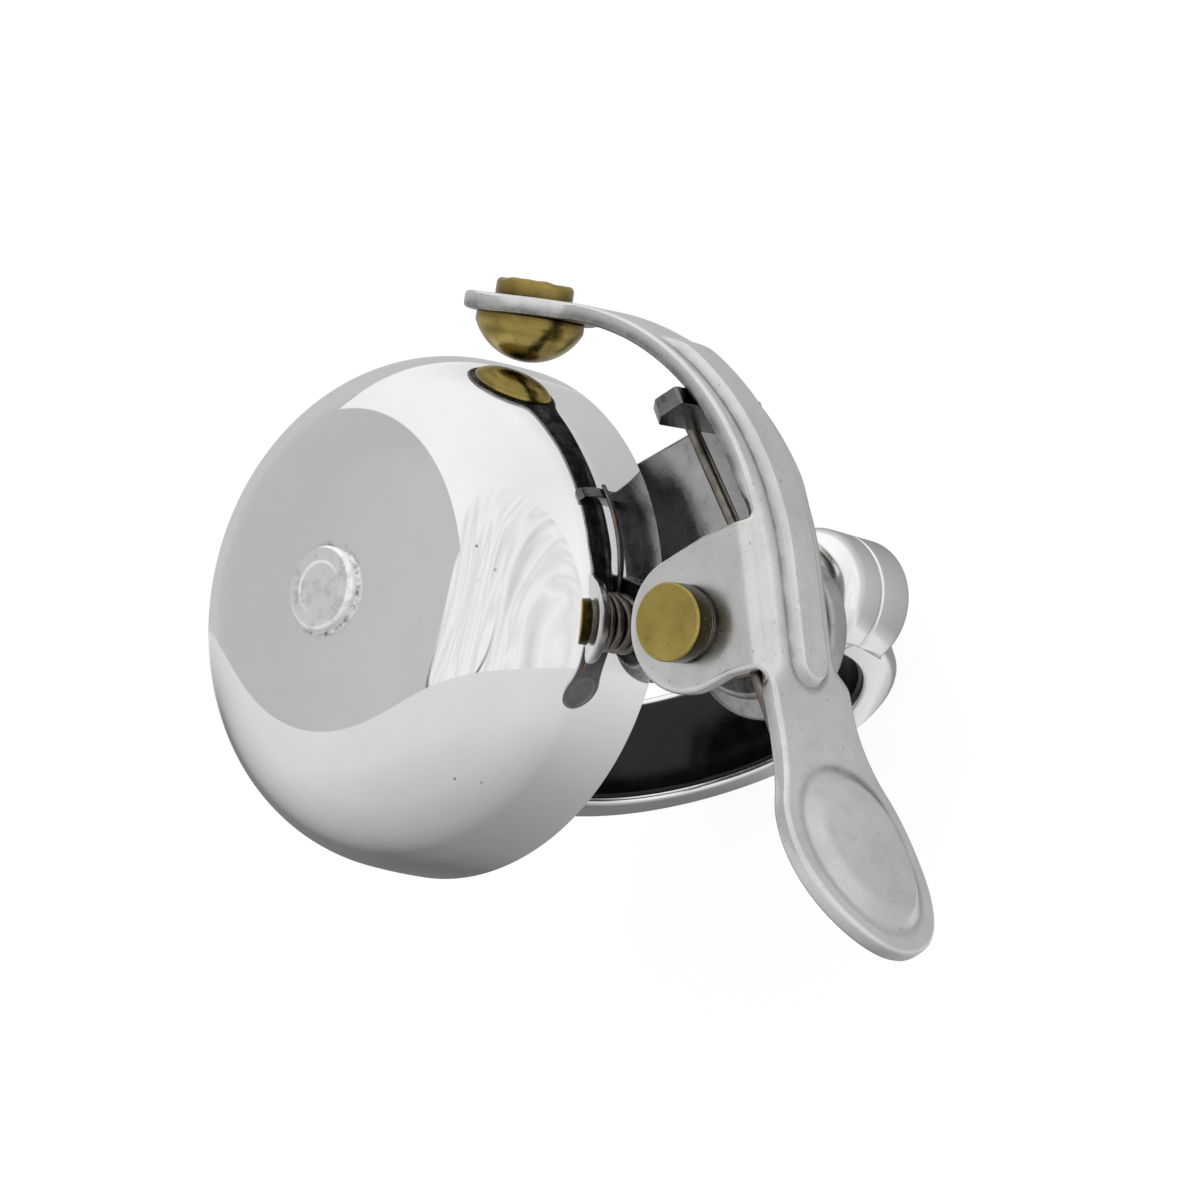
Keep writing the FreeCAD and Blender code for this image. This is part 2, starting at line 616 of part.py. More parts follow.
def striker_lever():
    body = lever_layer(waist_outline().fuse(pad_outline(0)), -SHEET, 0)
    points, radii = lever_path()
    tab = band_between(points, radii, -SHEET, 0, -TAB_R, TAB_R)
    tab = tab.common(hammer_frame(cylinder(TAB_R, -2 * SHEET, SHEET)))
    ear_strip = band_between(points, radii, -SHEET, 0, -EAR_OUTER, EAR_OUTER)
    ear_strip = ear_strip.common(box(V(-EAR_R, ARM_CORNER.y, -EAR_OUTER), V(EAR_R, 0, EAR_OUTER)))
    body = body.fuse([tab, ear_strip, ear(1), ear(-1)])
    rib = slot_outline(RIB_START, RIB_END, RIB_HALF_WIDTH)
    groove = slot_outline(RIB_START + RIB_HEIGHT, RIB_END - RIB_HEIGHT, RIB_HALF_WIDTH - RIB_HEIGHT)
    body = body.fuse(lever_layer(rib, -SHEET / 2, RIB_HEIGHT))
    body = body.cut(lever_layer(groove, -SHEET - 1, RIB_HEIGHT - SHEET))
    body = body.fuse(lever_layer(pad_outline(PAD_MARGIN), -SHEET / 2, PAD_RISE))
    body = body.cut(lever_layer(pad_outline(PAD_MARGIN + PAD_RISE), -SHEET - 1, PAD_RISE - SHEET))
    body = body.cut(cylinder(PIN_R + RUNNING, -2 * EAR_OUTER, 2 * EAR_OUTER))
    body = body.cut(hammer_frame(cylinder(HAMMER_SHANK_R + SEAT, -2 * SHEET, SHEET)))
    body.Placement = LEVER_PLACE
    return single(body)


def hammer():
    inner = -SHEET - SEAT
    crown_height = HAMMER_HEIGHT - HAMMER_SKIRT
    bottom = inner - HAMMER_HEIGHT
    outline = [V(0, 0, SEAT + HAMMER_COLLAR_HEIGHT),
               V(HAMMER_COLLAR_R - HAMMER_COLLAR_EDGE_R, 0, SEAT + HAMMER_COLLAR_HEIGHT),
               V(HAMMER_COLLAR_R, 0, SEAT + HAMMER_COLLAR_HEIGHT - HAMMER_COLLAR_EDGE_R),
               V(HAMMER_COLLAR_R, 0, SEAT), V(HAMMER_SHANK_R, 0, SEAT), V(HAMMER_SHANK_R, 0, inner),
               V(HAMMER_R, 0, inner), V(HAMMER_R, 0, inner - HAMMER_SKIRT)]
    edges = [Part.LineSegment(a, b).toShape() for a, b in zip(outline, outline[1:])]
    ball_r = (HAMMER_R ** 2 + crown_height ** 2) / (2 * crown_height)
    half_angle = 0.5 * math.asin(HAMMER_R / ball_r)
    if crown_height > ball_r:
        half_angle = math.pi / 2 - half_angle
    on_ball = V(ball_r * math.sin(half_angle), 0, bottom + ball_r - ball_r * math.cos(half_angle))
    edges.append(Part.Arc(outline[-1], on_ball, V(0, 0, bottom)).toShape())
    edges.append(Part.LineSegment(V(0, 0, bottom), outline[0]).toShape())
    body = Part.Face(Part.Wire(edges)).revolve(V(0, 0, 0), V(0, 0, 1), 360)
    body = hammer_frame(body)
    body.Placement = LEVER_PLACE.multiply(body.Placement)
    return body


# ---- pivot ------------------------------------------------------------------------------
def placed(shape):
    shape.Placement = LEVER_PLACE.multiply(shape.Placement)
    return shape


def pivot_pin():
    head_low = EAR_OUTER + HEAD_WASHER_THICK + 2 * RUNNING
    head = cylinder(PIN_HEAD_R, head_low, head_low + PIN_HEAD_HEIGHT)
    head = head.makeChamfer(PIN_HEAD_EDGE, [head.Edges[0]])
    tail = ARM_BOTTOM - CLIP_THICK - PIN_TAIL
    pin = single(head.fuse(cylinder(PIN_R, tail, head_low)))
    groove = ring(PIN_R + 1, CLIP_GROOVE_R, ARM_BOTTOM - CLIP_THICK - RUNNING, ARM_BOTTOM)
    return placed(pin.cut(groove))


def head_washer():
    low = EAR_OUTER + RUNNING
    return placed(ring(HEAD_WASHER_R, PIN_R + RUNNING, low, low + HEAD_WASHER_THICK))


def boss_washer():
    return placed(ring(BOSS_WASHER_R, PIN_R + RUNNING, ARM_TOP, ARM_TOP + BOSS_WASHER_THICK))


def spring_sleeve():
    end = EAR_INNER - 2 * RUNNING
    return placed(ring(SPRING_SLEEVE_R, PIN_R + RUNNING, -end, end))


def pin_clip():
    high = ARM_BOTTOM
    clip = ring(CLIP_R, CLIP_GROOVE_R + SEAT, high - CLIP_THICK, high)
    half = math.radians(CLIP_GAP_ANGLE / 2)
    reach = 2 * CLIP_R
    points = [V(0, 0, high - 2), V(-reach * math.cos(half), -reach * math.sin(half), high - 2),
              V(-reach * math.cos(half), reach * math.sin(half), high - 2), V(0, 0, high - 2)]
    mouth = Part.Face(Part.makePolygon(points)).extrude(V(0, 0, 4))
    return placed(clip.cut(mouth))


def wire_run(start, end):
    """Straight round wire with a ball at its end."""
    span = end.sub(start)
    run = Part.makeCylinder(WIRE_R, span.Length, start, span)
    return run.fuse(Part.makeSphere(WIRE_R, end))


def leg_start(target, turning):
    """Point where a leg from the target meets the coil's circle and its level angle."""
    distance = math.hypot(target.x, target.y)
    base = math.atan2(target.y, target.x)
    return base + turning * math.acos(COIL_R / distance)


def torsion_spring():
    half = EAR_INNER - 2 * RUNNING - WIRE_R - 0.1
    stop_y = stop_outer_edge()
    upper_tip = V(STOP_LINE + STOP_THICK + 0.2, stop_y + STOP_WIDTH + 1.4 * WIRE_R, -half)
    lower_y = lower_leg_level()
    lower_tip = V(-LOWER_LEG_REACH, lower_y, half)
    upper_angle = leg_start(upper_tip, -1)
    lower_angle = leg_start(lower_tip, 1)
    sweep = (upper_angle - lower_angle) % (2 * math.pi)
    turns = COIL_TURNS + sweep / (2 * math.pi)
    helix = Part.makeHelix(2 * half / turns, 2 * half, COIL_R, 0, True)
    helix.rotate(V(0, 0, 0), V(0, 0, 1), math.degrees(upper_angle))
    helix.translate(V(0, 0, -half))
    first = V(COIL_R * math.cos(upper_angle), COIL_R * math.sin(upper_angle), -half)
    last = V(COIL_R * math.cos(lower_angle), COIL_R * math.sin(lower_angle), half)
    tangent = V(math.sin(upper_angle), -math.cos(upper_angle), 0)
    section = Part.Wire(Part.Circle(first, tangent, WIRE_R).toShape())
    coil = Part.Wire(helix.Edges).makePipeShell([section], True, True)
    spring = coil.fuse([Part.makeSphere(WIRE_R, first), Part.makeSphere(WIRE_R, last),
                        wire_run(first, upper_tip), wire_run(last, lower_tip)])
    return placed(single(spring))


def lower_leg_level():
    """Height at which the lower leg lies against the lever's inner face at its tip."""
    return sheet_level(SHEET, -LOWER_LEG_REACH) + WIRE_R + SEAT


for name, maker in [("bell_dome", bell_dome), ("centre_rivet", centre_rivet),
                    ("dome_washer", dome_washer), ("spacer_sleeve", spacer_sleeve),
                    ("hub_washer", hub_washer), ("clamp_band", clamp_band),
                    ("bar_liner", bar_liner), ("locating_pins", locating_pins),
                    ("clamp_screw", clamp_screw), ("screw_washer", screw_washer),
                    ("thread_insert", thread_insert), ("base_bracket", base_bracket),
                    ("striker_lever", striker_lever), ("hammer", hammer),
                    ("pivot_pin", pivot_pin), ("head_washer", head_washer),
                    ("boss_washer", boss_washer), ("spring_sleeve", spring_sleeve),
                    ("torsion_spring", torsion_spring), ("pin_clip", pin_clip)]:
    write(name, maker())
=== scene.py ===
import json
import math
import bmesh
import bpy
import numpy as np
from mathutils import Matrix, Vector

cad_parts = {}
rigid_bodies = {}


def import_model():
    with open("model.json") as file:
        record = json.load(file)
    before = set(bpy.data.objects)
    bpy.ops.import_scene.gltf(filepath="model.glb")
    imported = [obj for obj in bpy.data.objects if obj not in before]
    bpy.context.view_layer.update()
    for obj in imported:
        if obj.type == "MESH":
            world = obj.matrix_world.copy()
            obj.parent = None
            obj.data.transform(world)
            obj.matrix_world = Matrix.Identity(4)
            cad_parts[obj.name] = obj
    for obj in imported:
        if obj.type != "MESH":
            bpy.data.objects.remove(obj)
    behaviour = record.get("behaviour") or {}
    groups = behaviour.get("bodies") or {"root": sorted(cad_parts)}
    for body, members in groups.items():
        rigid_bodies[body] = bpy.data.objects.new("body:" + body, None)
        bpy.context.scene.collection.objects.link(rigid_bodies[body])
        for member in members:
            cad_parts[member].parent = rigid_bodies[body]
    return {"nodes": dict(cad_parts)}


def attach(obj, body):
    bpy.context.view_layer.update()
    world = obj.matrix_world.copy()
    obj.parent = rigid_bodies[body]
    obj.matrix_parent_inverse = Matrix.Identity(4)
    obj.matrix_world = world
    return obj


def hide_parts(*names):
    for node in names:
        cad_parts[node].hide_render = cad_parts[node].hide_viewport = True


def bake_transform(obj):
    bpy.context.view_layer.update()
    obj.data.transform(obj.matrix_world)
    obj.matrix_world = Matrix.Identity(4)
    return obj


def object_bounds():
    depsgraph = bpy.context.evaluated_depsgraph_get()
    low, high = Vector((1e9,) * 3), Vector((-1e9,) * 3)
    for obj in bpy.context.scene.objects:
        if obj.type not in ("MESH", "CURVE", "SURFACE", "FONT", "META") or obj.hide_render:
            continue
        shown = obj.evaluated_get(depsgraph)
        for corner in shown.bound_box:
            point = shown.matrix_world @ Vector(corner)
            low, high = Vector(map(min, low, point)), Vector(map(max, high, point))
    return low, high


for leftover in list(bpy.data.objects):
    bpy.data.objects.remove(leftover)
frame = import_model()
cad_box = [list(corner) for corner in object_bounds()]

# ---- Bar liner ----
# A split ring of glossy black plastic that protects the handlebar. It is moulded, sprung
# into the band's bore, and held there by the clamping force.
MM = 0.001
FIT_PLAY = 0.02
BAR_R = 15.9
BAND_IN = 17.6
SPLIT_LEVEL = -2.0
SPLIT_GAP = 0.14
LINER_LENGTH = 9.2
LINER_BORE_EDGE = 0.3
LINER_BACK_EDGE = 0.2


def unit(vector):
    return np.asarray(vector, float) / np.linalg.norm(vector)


def rounded(corners, radii, steps=6):
    """Line through corner points in which each corner gives way to a tangent arc: the arc's
    centre lies on the corner's bisector at radius / sin(half the inner angle)."""
    points = np.array(corners, float)
    runs = []
    for i, radius in enumerate(radii):
        if radius == 0:
            runs.append(points[i:i + 1])
            continue
        back = unit(points[i - 1] - points[i])
        ahead = unit(points[(i + 1) % len(points)] - points[i])
        half = 0.5 * math.acos(np.clip(back @ ahead, -1, 1))
        centre = points[i] + unit(back + ahead) * radius / math.sin(half)
        first = points[i] + back * radius / math.tan(half) - centre
        last = points[i] + ahead * radius / math.tan(half) - centre
        turn = math.pi - 2 * half
        t = np.linspace(0, 1, steps + 1)[:, None]
        runs.append(centre + (np.sin((1 - t) * turn) * first + np.sin(t * turn) * last) / math.sin(turn))
    return np.vstack(runs)


def surface(name, grid, look, around=False, looped=False, ends=False, sharp=42,
            lining=None, shade_depths=None):
    """Mesh of a grid of points, one quad between each four neighbours. Rows may close into a
    ring, sections may close into a loop, and open rows may get flat ends. Coincident points
    are merged, so poles and seams are closed, and all faces are turned outwards. A lining is
    a second look with a flag for each column of quads that has it; the last argument gives
    each point a depth of painted shade, kept as the attribute that a look darkens by."""
    rows, columns = grid.shape[:2]
    index = np.arange(rows * columns).reshape(rows, columns)
    first_row, last_row = index[0].tolist(), index[-1].tolist()
    if around:
        index = np.vstack([index, index[:1]])
    if looped:
        index = np.hstack([index, index[:, :1]])
    quads = np.stack([index[:-1, :-1], index[1:, :-1], index[1:, 1:], index[:-1, 1:]], -1)
    faces = quads.reshape(-1, 4).tolist()
    if ends:
        faces += [first_row[::-1], last_row]
    mesh = bpy.data.meshes.new(name)
    mesh.from_pydata((grid.reshape(-1, 3) * MM).tolist(), [], faces)
    mesh.materials.append(look.material)
    if lining:
        mesh.materials.append(lining[0].material)
        flags = np.tile(np.asarray(lining[1], int), len(index) - 1)
        mesh.polygons.foreach_set("material_index", flags)
    if shade_depths is not None:
        depths = mesh.attributes.new("painted_shade_depth", "FLOAT", "POINT")
        depths.data.foreach_set("value", shade_depths.ravel())
    work = bmesh.new()
    work.from_mesh(mesh)
    bmesh.ops.remove_doubles(work, verts=work.verts, dist=2e-7)
    bmesh.ops.dissolve_degenerate(work, edges=work.edges, dist=1e-7)
    bmesh.ops.recalc_face_normals(work, faces=work.faces)
    work.to_mesh(mesh)
    work.free()
    mesh.shade_smooth()
    mesh.set_sharp_from_angle(angle=math.radians(sharp))
    piece = bpy.data.objects.new(name, mesh)
    bpy.context.scene.collection.objects.link(piece)
    return piece


def turned(profile, angles, centre=(0, 0, 0), axis=(0, 0, 1), start=(1, 0, 0)):
    """Grid of a profile (radius, height) turned round an axis: the point at angle a is
    centre + height * axis + radius * (cos a * start + sin a * side)."""
    axis, start = unit(axis), unit(start)
    side = np.cross(axis, start)
    profile = np.asarray(profile, float)
    spoke = np.cos(angles)[:, None, None] * start + np.sin(angles)[:, None, None] * side
    return np.asarray(centre) + profile[None, :, 1:] * axis + profile[None, :, :1] * spoke


def split_ring(section, radius, steps):
    """Grid of a section carried round the bar, from one side of the clamp's gap to the other
    at a radius; angles count from +Y to +Z."""
    low = math.pi + math.asin((-SPLIT_LEVEL + SPLIT_GAP / 2) / radius)
    high = math.pi + math.asin((-SPLIT_LEVEL - SPLIT_GAP / 2) / radius) + 2 * math.pi
    return turned(section, np.linspace(low, high, steps), axis=(1, 0, 0), start=(0, 1, 0))


class Look:
    """The node tree of a material, or of the world, with its coordinates and short ways to
    add nodes. A value that feeds an input is a socket, a number, a direction or a colour."""

    def __init__(self, material, coordinates="Object"):
        material.use_nodes = True
        self.material = material
        self.nodes, self.links = material.node_tree.nodes, material.node_tree.links
        self.shader = self.nodes.get("Principled BSDF")
        self.place = self.nodes.new("ShaderNodeTexCoord").outputs[coordinates]

    def feed(self, socket, value):
        """Link a value into an input, or set it as the input's own."""
        if isinstance(value, bpy.types.NodeSocket):
            self.links.new(value, socket)
        else:
            socket.default_value = (*value, 1) if socket.type == "RGBA" else value

    def set(self, **values):
        """Feed inputs of the principled shader, named with _ for a space."""
        for name, value in values.items():
            self.feed(self.shader.inputs[name.replace("_", " ")], value)

    def add(self, kind, feeds, output=0, **settings):
        """Output of a new node, with its settings made and its inputs fed."""
        node = self.nodes.new("ShaderNode" + kind)
        for name, value in settings.items():
            setattr(node, name, value)
        for socket, value in feeds.items():
            self.feed(node.inputs[socket], value)
        return node.outputs[output]


def noise(look, scale, detail, rough, stretch=None, place=None):
    """Noise value at a point; scale is in patches per metre, stretch squeezes it per axis."""
    place = place or look.place
    if stretch:
        place = look.add("Mapping", {"Vector": place, "Scale": stretch})
    return look.add("TexNoise", {"Vector": place, "Scale": scale, "Detail": detail, "Roughness": rough})


def grey(level):
    return (level, level, level)


def ramp(look, value, *stops):
    """Colour ramp of a value; stops are (position, colour), and a lone number is a grey."""
    node = look.nodes.new("ShaderNodeValToRGB")
    while len(node.color_ramp.elements) < len(stops):
        node.color_ramp.elements.new(0.5)
    for element, (position, colour) in zip(node.color_ramp.elements, stops):
        element.position = position
        element.color = (*(colour if isinstance(colour, tuple) else grey(colour)), 1)
    look.links.new(value, node.inputs["Fac"])
    return node.outputs["Color"]


def mottled(look, scale, detail, rough, *stops):
    """A ramp's colours spread in patches by a noise."""
    return ramp(look, noise(look, scale, detail, rough), *stops)


def relief(look, scale, detail, rough, distance, strength, stretch=None):
    """Surface relief from a noise; distance is in millimetres."""
    height = noise(look, scale, detail, rough, stretch)
    bump = {"Height": height, "Distance": distance * MM, "Strength": strength}
    look.set(Normal=look.add("Bump", bump))


liner_black = Look(bpy.data.materials.new("glossy_black_plastic"))
liner_black.set(Base_Color=mottled(liner_black, 900, 4, 0.5, (0.35, 0.002), (0.75, 0.006)),
                Roughness=mottled(liner_black, 300, 6, 0.5, (0.3, 0.10), (0.8, 0.22)),
                Specular_IOR_Level=0.3)
relief(liner_black, 2500, 5, 0.6, 0.01, 0.5)
half = LINER_LENGTH / 2
liner_out = BAND_IN - FIT_PLAY
liner_section = rounded([(BAR_R, -half), (liner_out, -half), (liner_out, half), (BAR_R, half)],
                        [LINER_BORE_EDGE, LINER_BACK_EDGE, LINER_BACK_EDGE, LINER_BORE_EDGE], 4)
liner = surface("lining_ring", split_ring(liner_section, BAR_R, 180), liner_black, looped=True, ends=True)
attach(liner, "bell_body")
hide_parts("bar_liner")

# ---- Clamp band ----
# The ring that closes on the bar, forged with a round lug that a saw cut splits in two. It is
# polished and chromed all over; the screw in the lug pulls the two halves together.
BAND_OUT = 19.55
BAND_LENGTH = 10.6
BAND_EDGE = 0.8
LIP_R = 16.2
LIP_EDGE = 0.42
LIP_INNER_EDGE = 0.1
LUG_R = 5.9
LUG_LINE = 17.0
LUG_TOP = 2.6
LUG_BOTTOM = -6.5
LUG_TOP_EDGE = 2.2
LUG_CUT_EDGE = 0.25
LUG_BOTTOM_EDGE = 0.9


def full_turn(steps):
    return np.linspace(0, 2 * math.pi, steps, endpoint=False)


def dimmed(colour, share):
    """Colour times a share, or times a share for each channel."""
    return tuple(np.multiply(colour, share))


def metal(name, tone, gloss, grain):
    """Bare metal whose tone and gloss change in patches, over a fine relief."""
    look = Look(bpy.data.materials.new(name))
    look.set(Metallic=1.0, Base_Color=mottled(look, *tone), Roughness=mottled(look, *gloss))
    relief(look, *grain)
    return look


def plated(name, colour, gloss, waves):
    """Polished plating: nearly clear reflections, faint haze patches and a slight waviness."""
    tone = (260, 5, 0.6, (0.3, dimmed(colour, 0.965)), (0.7, colour))
    return metal(name, tone, (420, 6, 0.65, (0.35, gloss[0]), (0.8, gloss[1])),
                 (waves[0], 3, 0.4, waves[1], 1.0))


band_chrome = plated("polished_band_chrome", (0.95, 0.95, 0.955), (0.14, 0.28), (120, 0.02))
half = BAND_LENGTH / 2
seat = LINER_LENGTH / 2 + FIT_PLAY
band_section = rounded([(BAND_IN, seat), (BAND_IN, -seat), (LIP_R, -seat), (LIP_R, -half),
                        (BAND_OUT, -half), (BAND_OUT, half), (LIP_R, half), (LIP_R, seat)],
                       [0, 0, LIP_INNER_EDGE, LIP_EDGE, BAND_EDGE, BAND_EDGE, LIP_EDGE, LIP_INNER_EDGE], 8)
band = surface("clamp_ring", split_ring(band_section, BAND_OUT, 220), band_chrome, looped=True, ends=True)


def drum(radius, first, last, first_edge, last_edge, steps):
    """Half section of a solid drum between two levels, its edges rounded."""
    corners = [(0, first), (radius, first), (radius, last), (0, last)]
    return rounded(corners, [0, first_edge, last_edge, 0], steps)


def fitted_to_ring(grid):
    """Points that would fall inside the ring's wall move out, square to the bar, to its middle."""
    middle = 0.5 * (BAND_IN + BAND_OUT)
    reach = np.hypot(grid[..., 1], grid[..., 2])
    factor = np.where(reach < middle, middle / reach, 1.0)
    return grid * np.stack([np.ones_like(factor), factor, factor], -1)


top_cut = SPLIT_LEVEL + SPLIT_GAP / 2
low_cut = SPLIT_LEVEL - SPLIT_GAP / 2
upper_lug = drum(LUG_R, LUG_TOP, top_cut, LUG_TOP_EDGE, LUG_CUT_EDGE, 12)
lower_lug = drum(LUG_R, low_cut, LUG_BOTTOM, LUG_CUT_EDGE, LUG_BOTTOM_EDGE, 10)
lug_pieces = []
spread = np.linspace(0, 1, 6)[:, None]
for name, section in (("lug_upper_half", upper_lug), ("lug_lower_half", lower_lug)):
    line = np.vstack([section[0] + (section[1] - section[0]) * spread[:-1], section[1:-1],
                      section[-2] + (section[-1] - section[-2]) * spread])
    lug_grid = fitted_to_ring(turned(line, full_turn(96), centre=(0, -LUG_LINE, 0)))
    lug_pieces.append(surface(name, lug_grid, band_chrome, around=True))
for piece in [band] + lug_pieces:
    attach(piece, "bell_body")
    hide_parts("clamp_band")

# ---- Clamp screw, its washer and the threaded insert ----
# A small steel socket screw goes up into the lug through a thin washer and turns in a steel
# insert pressed into the lug's upper half. Turned parts, left with fine tool marks.


def turned_steel(name, colour, dark, gloss):
    """Plain turned steel: fine rings of tool marks as noise squeezed along the piece's axis."""
    return metal(name, (700, 5, 0.6, (0.35, dark), (0.7, colour)),
                 (500, 6, 0.6, (0.3, gloss[0]), (0.8, gloss[1])), (900, 3, 0.5, 0.012, 0.6, (1, 1, 14)))


def finish_node(node, look):
    """Give a node of the frame its look in every material slot."""
    for holder in frame["nodes"][node].material_slots:
        holder.material = look.material


steel = turned_steel("turned_steel", (0.56, 0.55, 0.54), (0.36, 0.35, 0.34), (0.22, 0.42))
for node in ("clamp_screw", "screw_washer", "thread_insert"):
    finish_node(node, steel)

# ---- Bracket, locating pins ----
# One casting of light alloy: a saddle on the band, a round hub for the dome's rivet, an arm
# with the pivot boss, and the plate that stops the lever. Left rough, two dowels locate it.
DOME_LINE = 0.85
RIM_LEVEL = 28.3
HUB_TOP = 26.2
HUB_LOW = 20.0
HUB_R = 7.2
HUB_EDGE = 0.5
ARM_THICK = 2.6
ARM_TOP = -5.35
ARM_BOTTOM = -7.95
ARM_TOP_EDGE = 0.35
ARM_LOW_EDGE = 1.0
BOSS_R = 7.2
BOSS_EDGE = 0.45
WEB_R = 4.7
WEB_HUB_R = 5.2
WEB_HUB_SHIFT = 1.2
STOP_THICK = 1.6
STOP_LINE = 16.5
STOP_WIDTH = 3.5
STOP_RISE = 9.6
STOP_CORNER = 1.2
STOP_CORNER_R = 0.3
STOP_SINK = 0.8
STOP_EDGE = 0.12
SADDLE_LOW = 16.0
SADDLE_EDGE = 0.8
SADDLE_LOW_EDGE = 0.1
SADDLE_CORNER_R = 1.8
SADDLE_CORNERS = (2.7, 7.2)
SADDLE_SINK = 0.3
SHEET = 1.5
HAMMER_POINT = np.array([34.1, 6.5])
ARM_CORNER = np.array([19.7, -14.05])
THUMB_CORNER = np.array([-14.6, -4.2])
LEVER_TIP = np.array([-30.7, -5.9])
TAB_R = 5.8
ARM_BEND_R = 26.9
THUMB_BEND_R = 45.0
PIVOT = np.array([-12.9, -25.9, 29.25])
PIVOT_TILT = math.radians(6.0)
LEVER_AXES = np.array([[math.cos(PIVOT_TILT), 0, math.sin(PIVOT_TILT)], [0, 1, 0],
                       [-math.sin(PIVOT_TILT), 0, math.cos(PIVOT_TILT)]])


def from_lever(points):
    """Lever frame to row frame: x along the lever, y into the bell, z along the pivot pin."""
    return PIVOT + np.asarray(points) @ LEVER_AXES


def to_lever(points):
    return (np.asarray(points) - PIVOT) @ LEVER_AXES.T


def line_length(line):
    """Length along a line of points up to each of them."""
    return np.concatenate([[0], np.cumsum(np.linalg.norm(np.diff(line, axis=0), axis=1))])


def line_at(length, known, line):
    """Points of a line at some lengths, between the points whose lengths are known."""
    return np.stack([np.interp(length, known, line[:, k]) for k in (0, 1)], -1)


tab_along = unit(HAMMER_POINT - ARM_CORNER)
side_corners = [HAMMER_POINT + tab_along * TAB_R, ARM_CORNER, THUMB_CORNER, LEVER_TIP]
bent_line = rounded(side_corners, [0, ARM_BEND_R, THUMB_BEND_R, 0], 600)
bent_length = line_length(bent_line)
side_length = np.linspace(0, bent_length[-1], 2400)
side_line = line_at(side_length, bent_length, bent_line)


def along_lever(s):
    """Point of the lever's outer face in side view at a length s from the tab's end, and the
    direction into the bell there, which is square to the line."""
    point = line_at(s, side_length, side_line)
    ahead = line_at(s + 0.2, side_length, side_line) - line_at(s - 0.2, side_length, side_line)
    ahead /= np.linalg.norm(ahead, axis=-1, keepdims=True)
    return point, np.stack([ahead[..., 1], -ahead[..., 0]], -1)


def length_at(x):
    """Length along the lever's outer face at a place x of the lever frame."""
    return np.interp(-np.asarray(x, float), -side_line[:, 0], side_length)


def outline_of(circles, angles, inset):
    """Outline drawn tight round circles (x, y, radius), shrunk by an inset: in each direction
    it is the point of the circle that reaches furthest that way."""
    circles = np.array(circles, float)
    ways = np.stack([np.cos(angles), np.sin(angles)], -1)
    best = np.argmax(ways @ circles[:, :2].T + circles[:, 2], axis=1)
    return circles[best, :2] + (circles[best, 2] - inset)[:, None] * ways


def rolled_edges(low, high, low_edge, high_edge, steps):
    """Insets and levels of the rows over a plate's two rolled edges: quarter circles, from
    the lower face out to the side, and from the side in to the upper face."""
    roll = np.linspace(0, math.pi / 2, steps + 1)
    out, up = 1 - np.sin(roll), 1 - np.cos(roll)
    return (np.concatenate([low_edge * out, high_edge * up]),
            np.concatenate([low + low_edge * up, high - high_edge * out]))


def slab(circles, low, high, low_edge, high_edge, steps=180, arc=6):
    """Plate with the outline of some circles between two levels, both edges rolled over."""
    rows = [np.column_stack([outline_of(circles, full_turn(steps), inset), np.full(steps, level)])
            for inset, level in zip(*rolled_edges(low, high, low_edge, high_edge, arc))]
    return np.stack(rows)


def cast_alloy(name, gloss, grain, tone=1.0):
    """Cast alloy: grey mottling, darker specks in the pits, and a sand-like relief."""
    greys = [(at, level * tone) for at, level in ((0.3, 0.17), (0.42, 0.40), (0.75, 0.50))]
    return metal(name, (620, 8, 0.7, *greys), (350, 5, 0.6, (0.3, gloss[0]), (0.75, gloss[1])),
                 (1500, 6, 0.65, grain, 0.7))


rough_cast = cast_alloy("rough_cast_alloy", (0.26, 0.46), 0.06)
tumbled_cast = cast_alloy("tumbled_cast_alloy", (0.2, 0.36), 0.03, 0.95)
# a darker copy of the same casting for the stop plate: painted shade
plate_cast_painted_shade = cast_alloy("cast_alloy_painted_shade", (0.16, 0.3), 0.02, 0.5)
inner_line = side_line + along_lever(side_length)[1] * SHEET


def inner_face(x):
    """Level of the lever's inner face at a place x of the lever frame."""
    return float(np.interp(-x, -inner_line[:, 0], inner_line[:, 1]))


hub_in_lever = to_lever([DOME_LINE, 0, HUB_TOP])
stop_y = max(inner_face(STOP_LINE), inner_face(STOP_LINE + STOP_THICK)) + FIT_PLAY
arm_circles = [(0, 0, WEB_R), (STOP_LINE, stop_y + STOP_THICK, STOP_THICK),
               (hub_in_lever[0] + WEB_HUB_SHIFT, hub_in_lever[1], WEB_HUB_R)]
arm_grid = from_lever(slab(arm_circles, ARM_BOTTOM, ARM_TOP, ARM_LOW_EDGE, ARM_TOP_EDGE))
arm = surface("bracket_arm", arm_grid, tumbled_cast, looped=True, ends=True)
left, right = stop_y + STOP_CORNER_R, stop_y + STOP_WIDTH
foot, top = ARM_BOTTOM + STOP_SINK, ARM_TOP + STOP_RISE
cut = STOP_CORNER + STOP_CORNER_R / 2
plate_corners = [(left, foot), (right - STOP_CORNER_R, foot), (right - STOP_CORNER_R, top - cut),
                 (right - cut, top - STOP_CORNER_R), (left, top - STOP_CORNER_R)]
plate_circles = [(*corner, STOP_CORNER_R) for corner in plate_corners]
plate_grid = slab(plate_circles, STOP_LINE, STOP_LINE + STOP_THICK, STOP_EDGE, STOP_EDGE, 120, 4)
plate = surface("stop_plate", from_lever(plate_grid[..., [2, 0, 1]]), plate_cast_painted_shade, looped=True,
                ends=True)
boss_section = drum(BOSS_R, ARM_BOTTOM, ARM_TOP, ARM_LOW_EDGE, BOSS_EDGE, 6)
boss = surface("pivot_boss", from_lever(turned(boss_section, full_turn(140))), rough_cast, around=True)
hub_section = drum(HUB_R, HUB_LOW, HUB_TOP, 0, HUB_EDGE, 6)
hub_grid = turned(hub_section, full_turn(120), centre=(DOME_LINE, 0, 0))
hub = surface("bracket_hub", hub_grid, rough_cast, around=True)
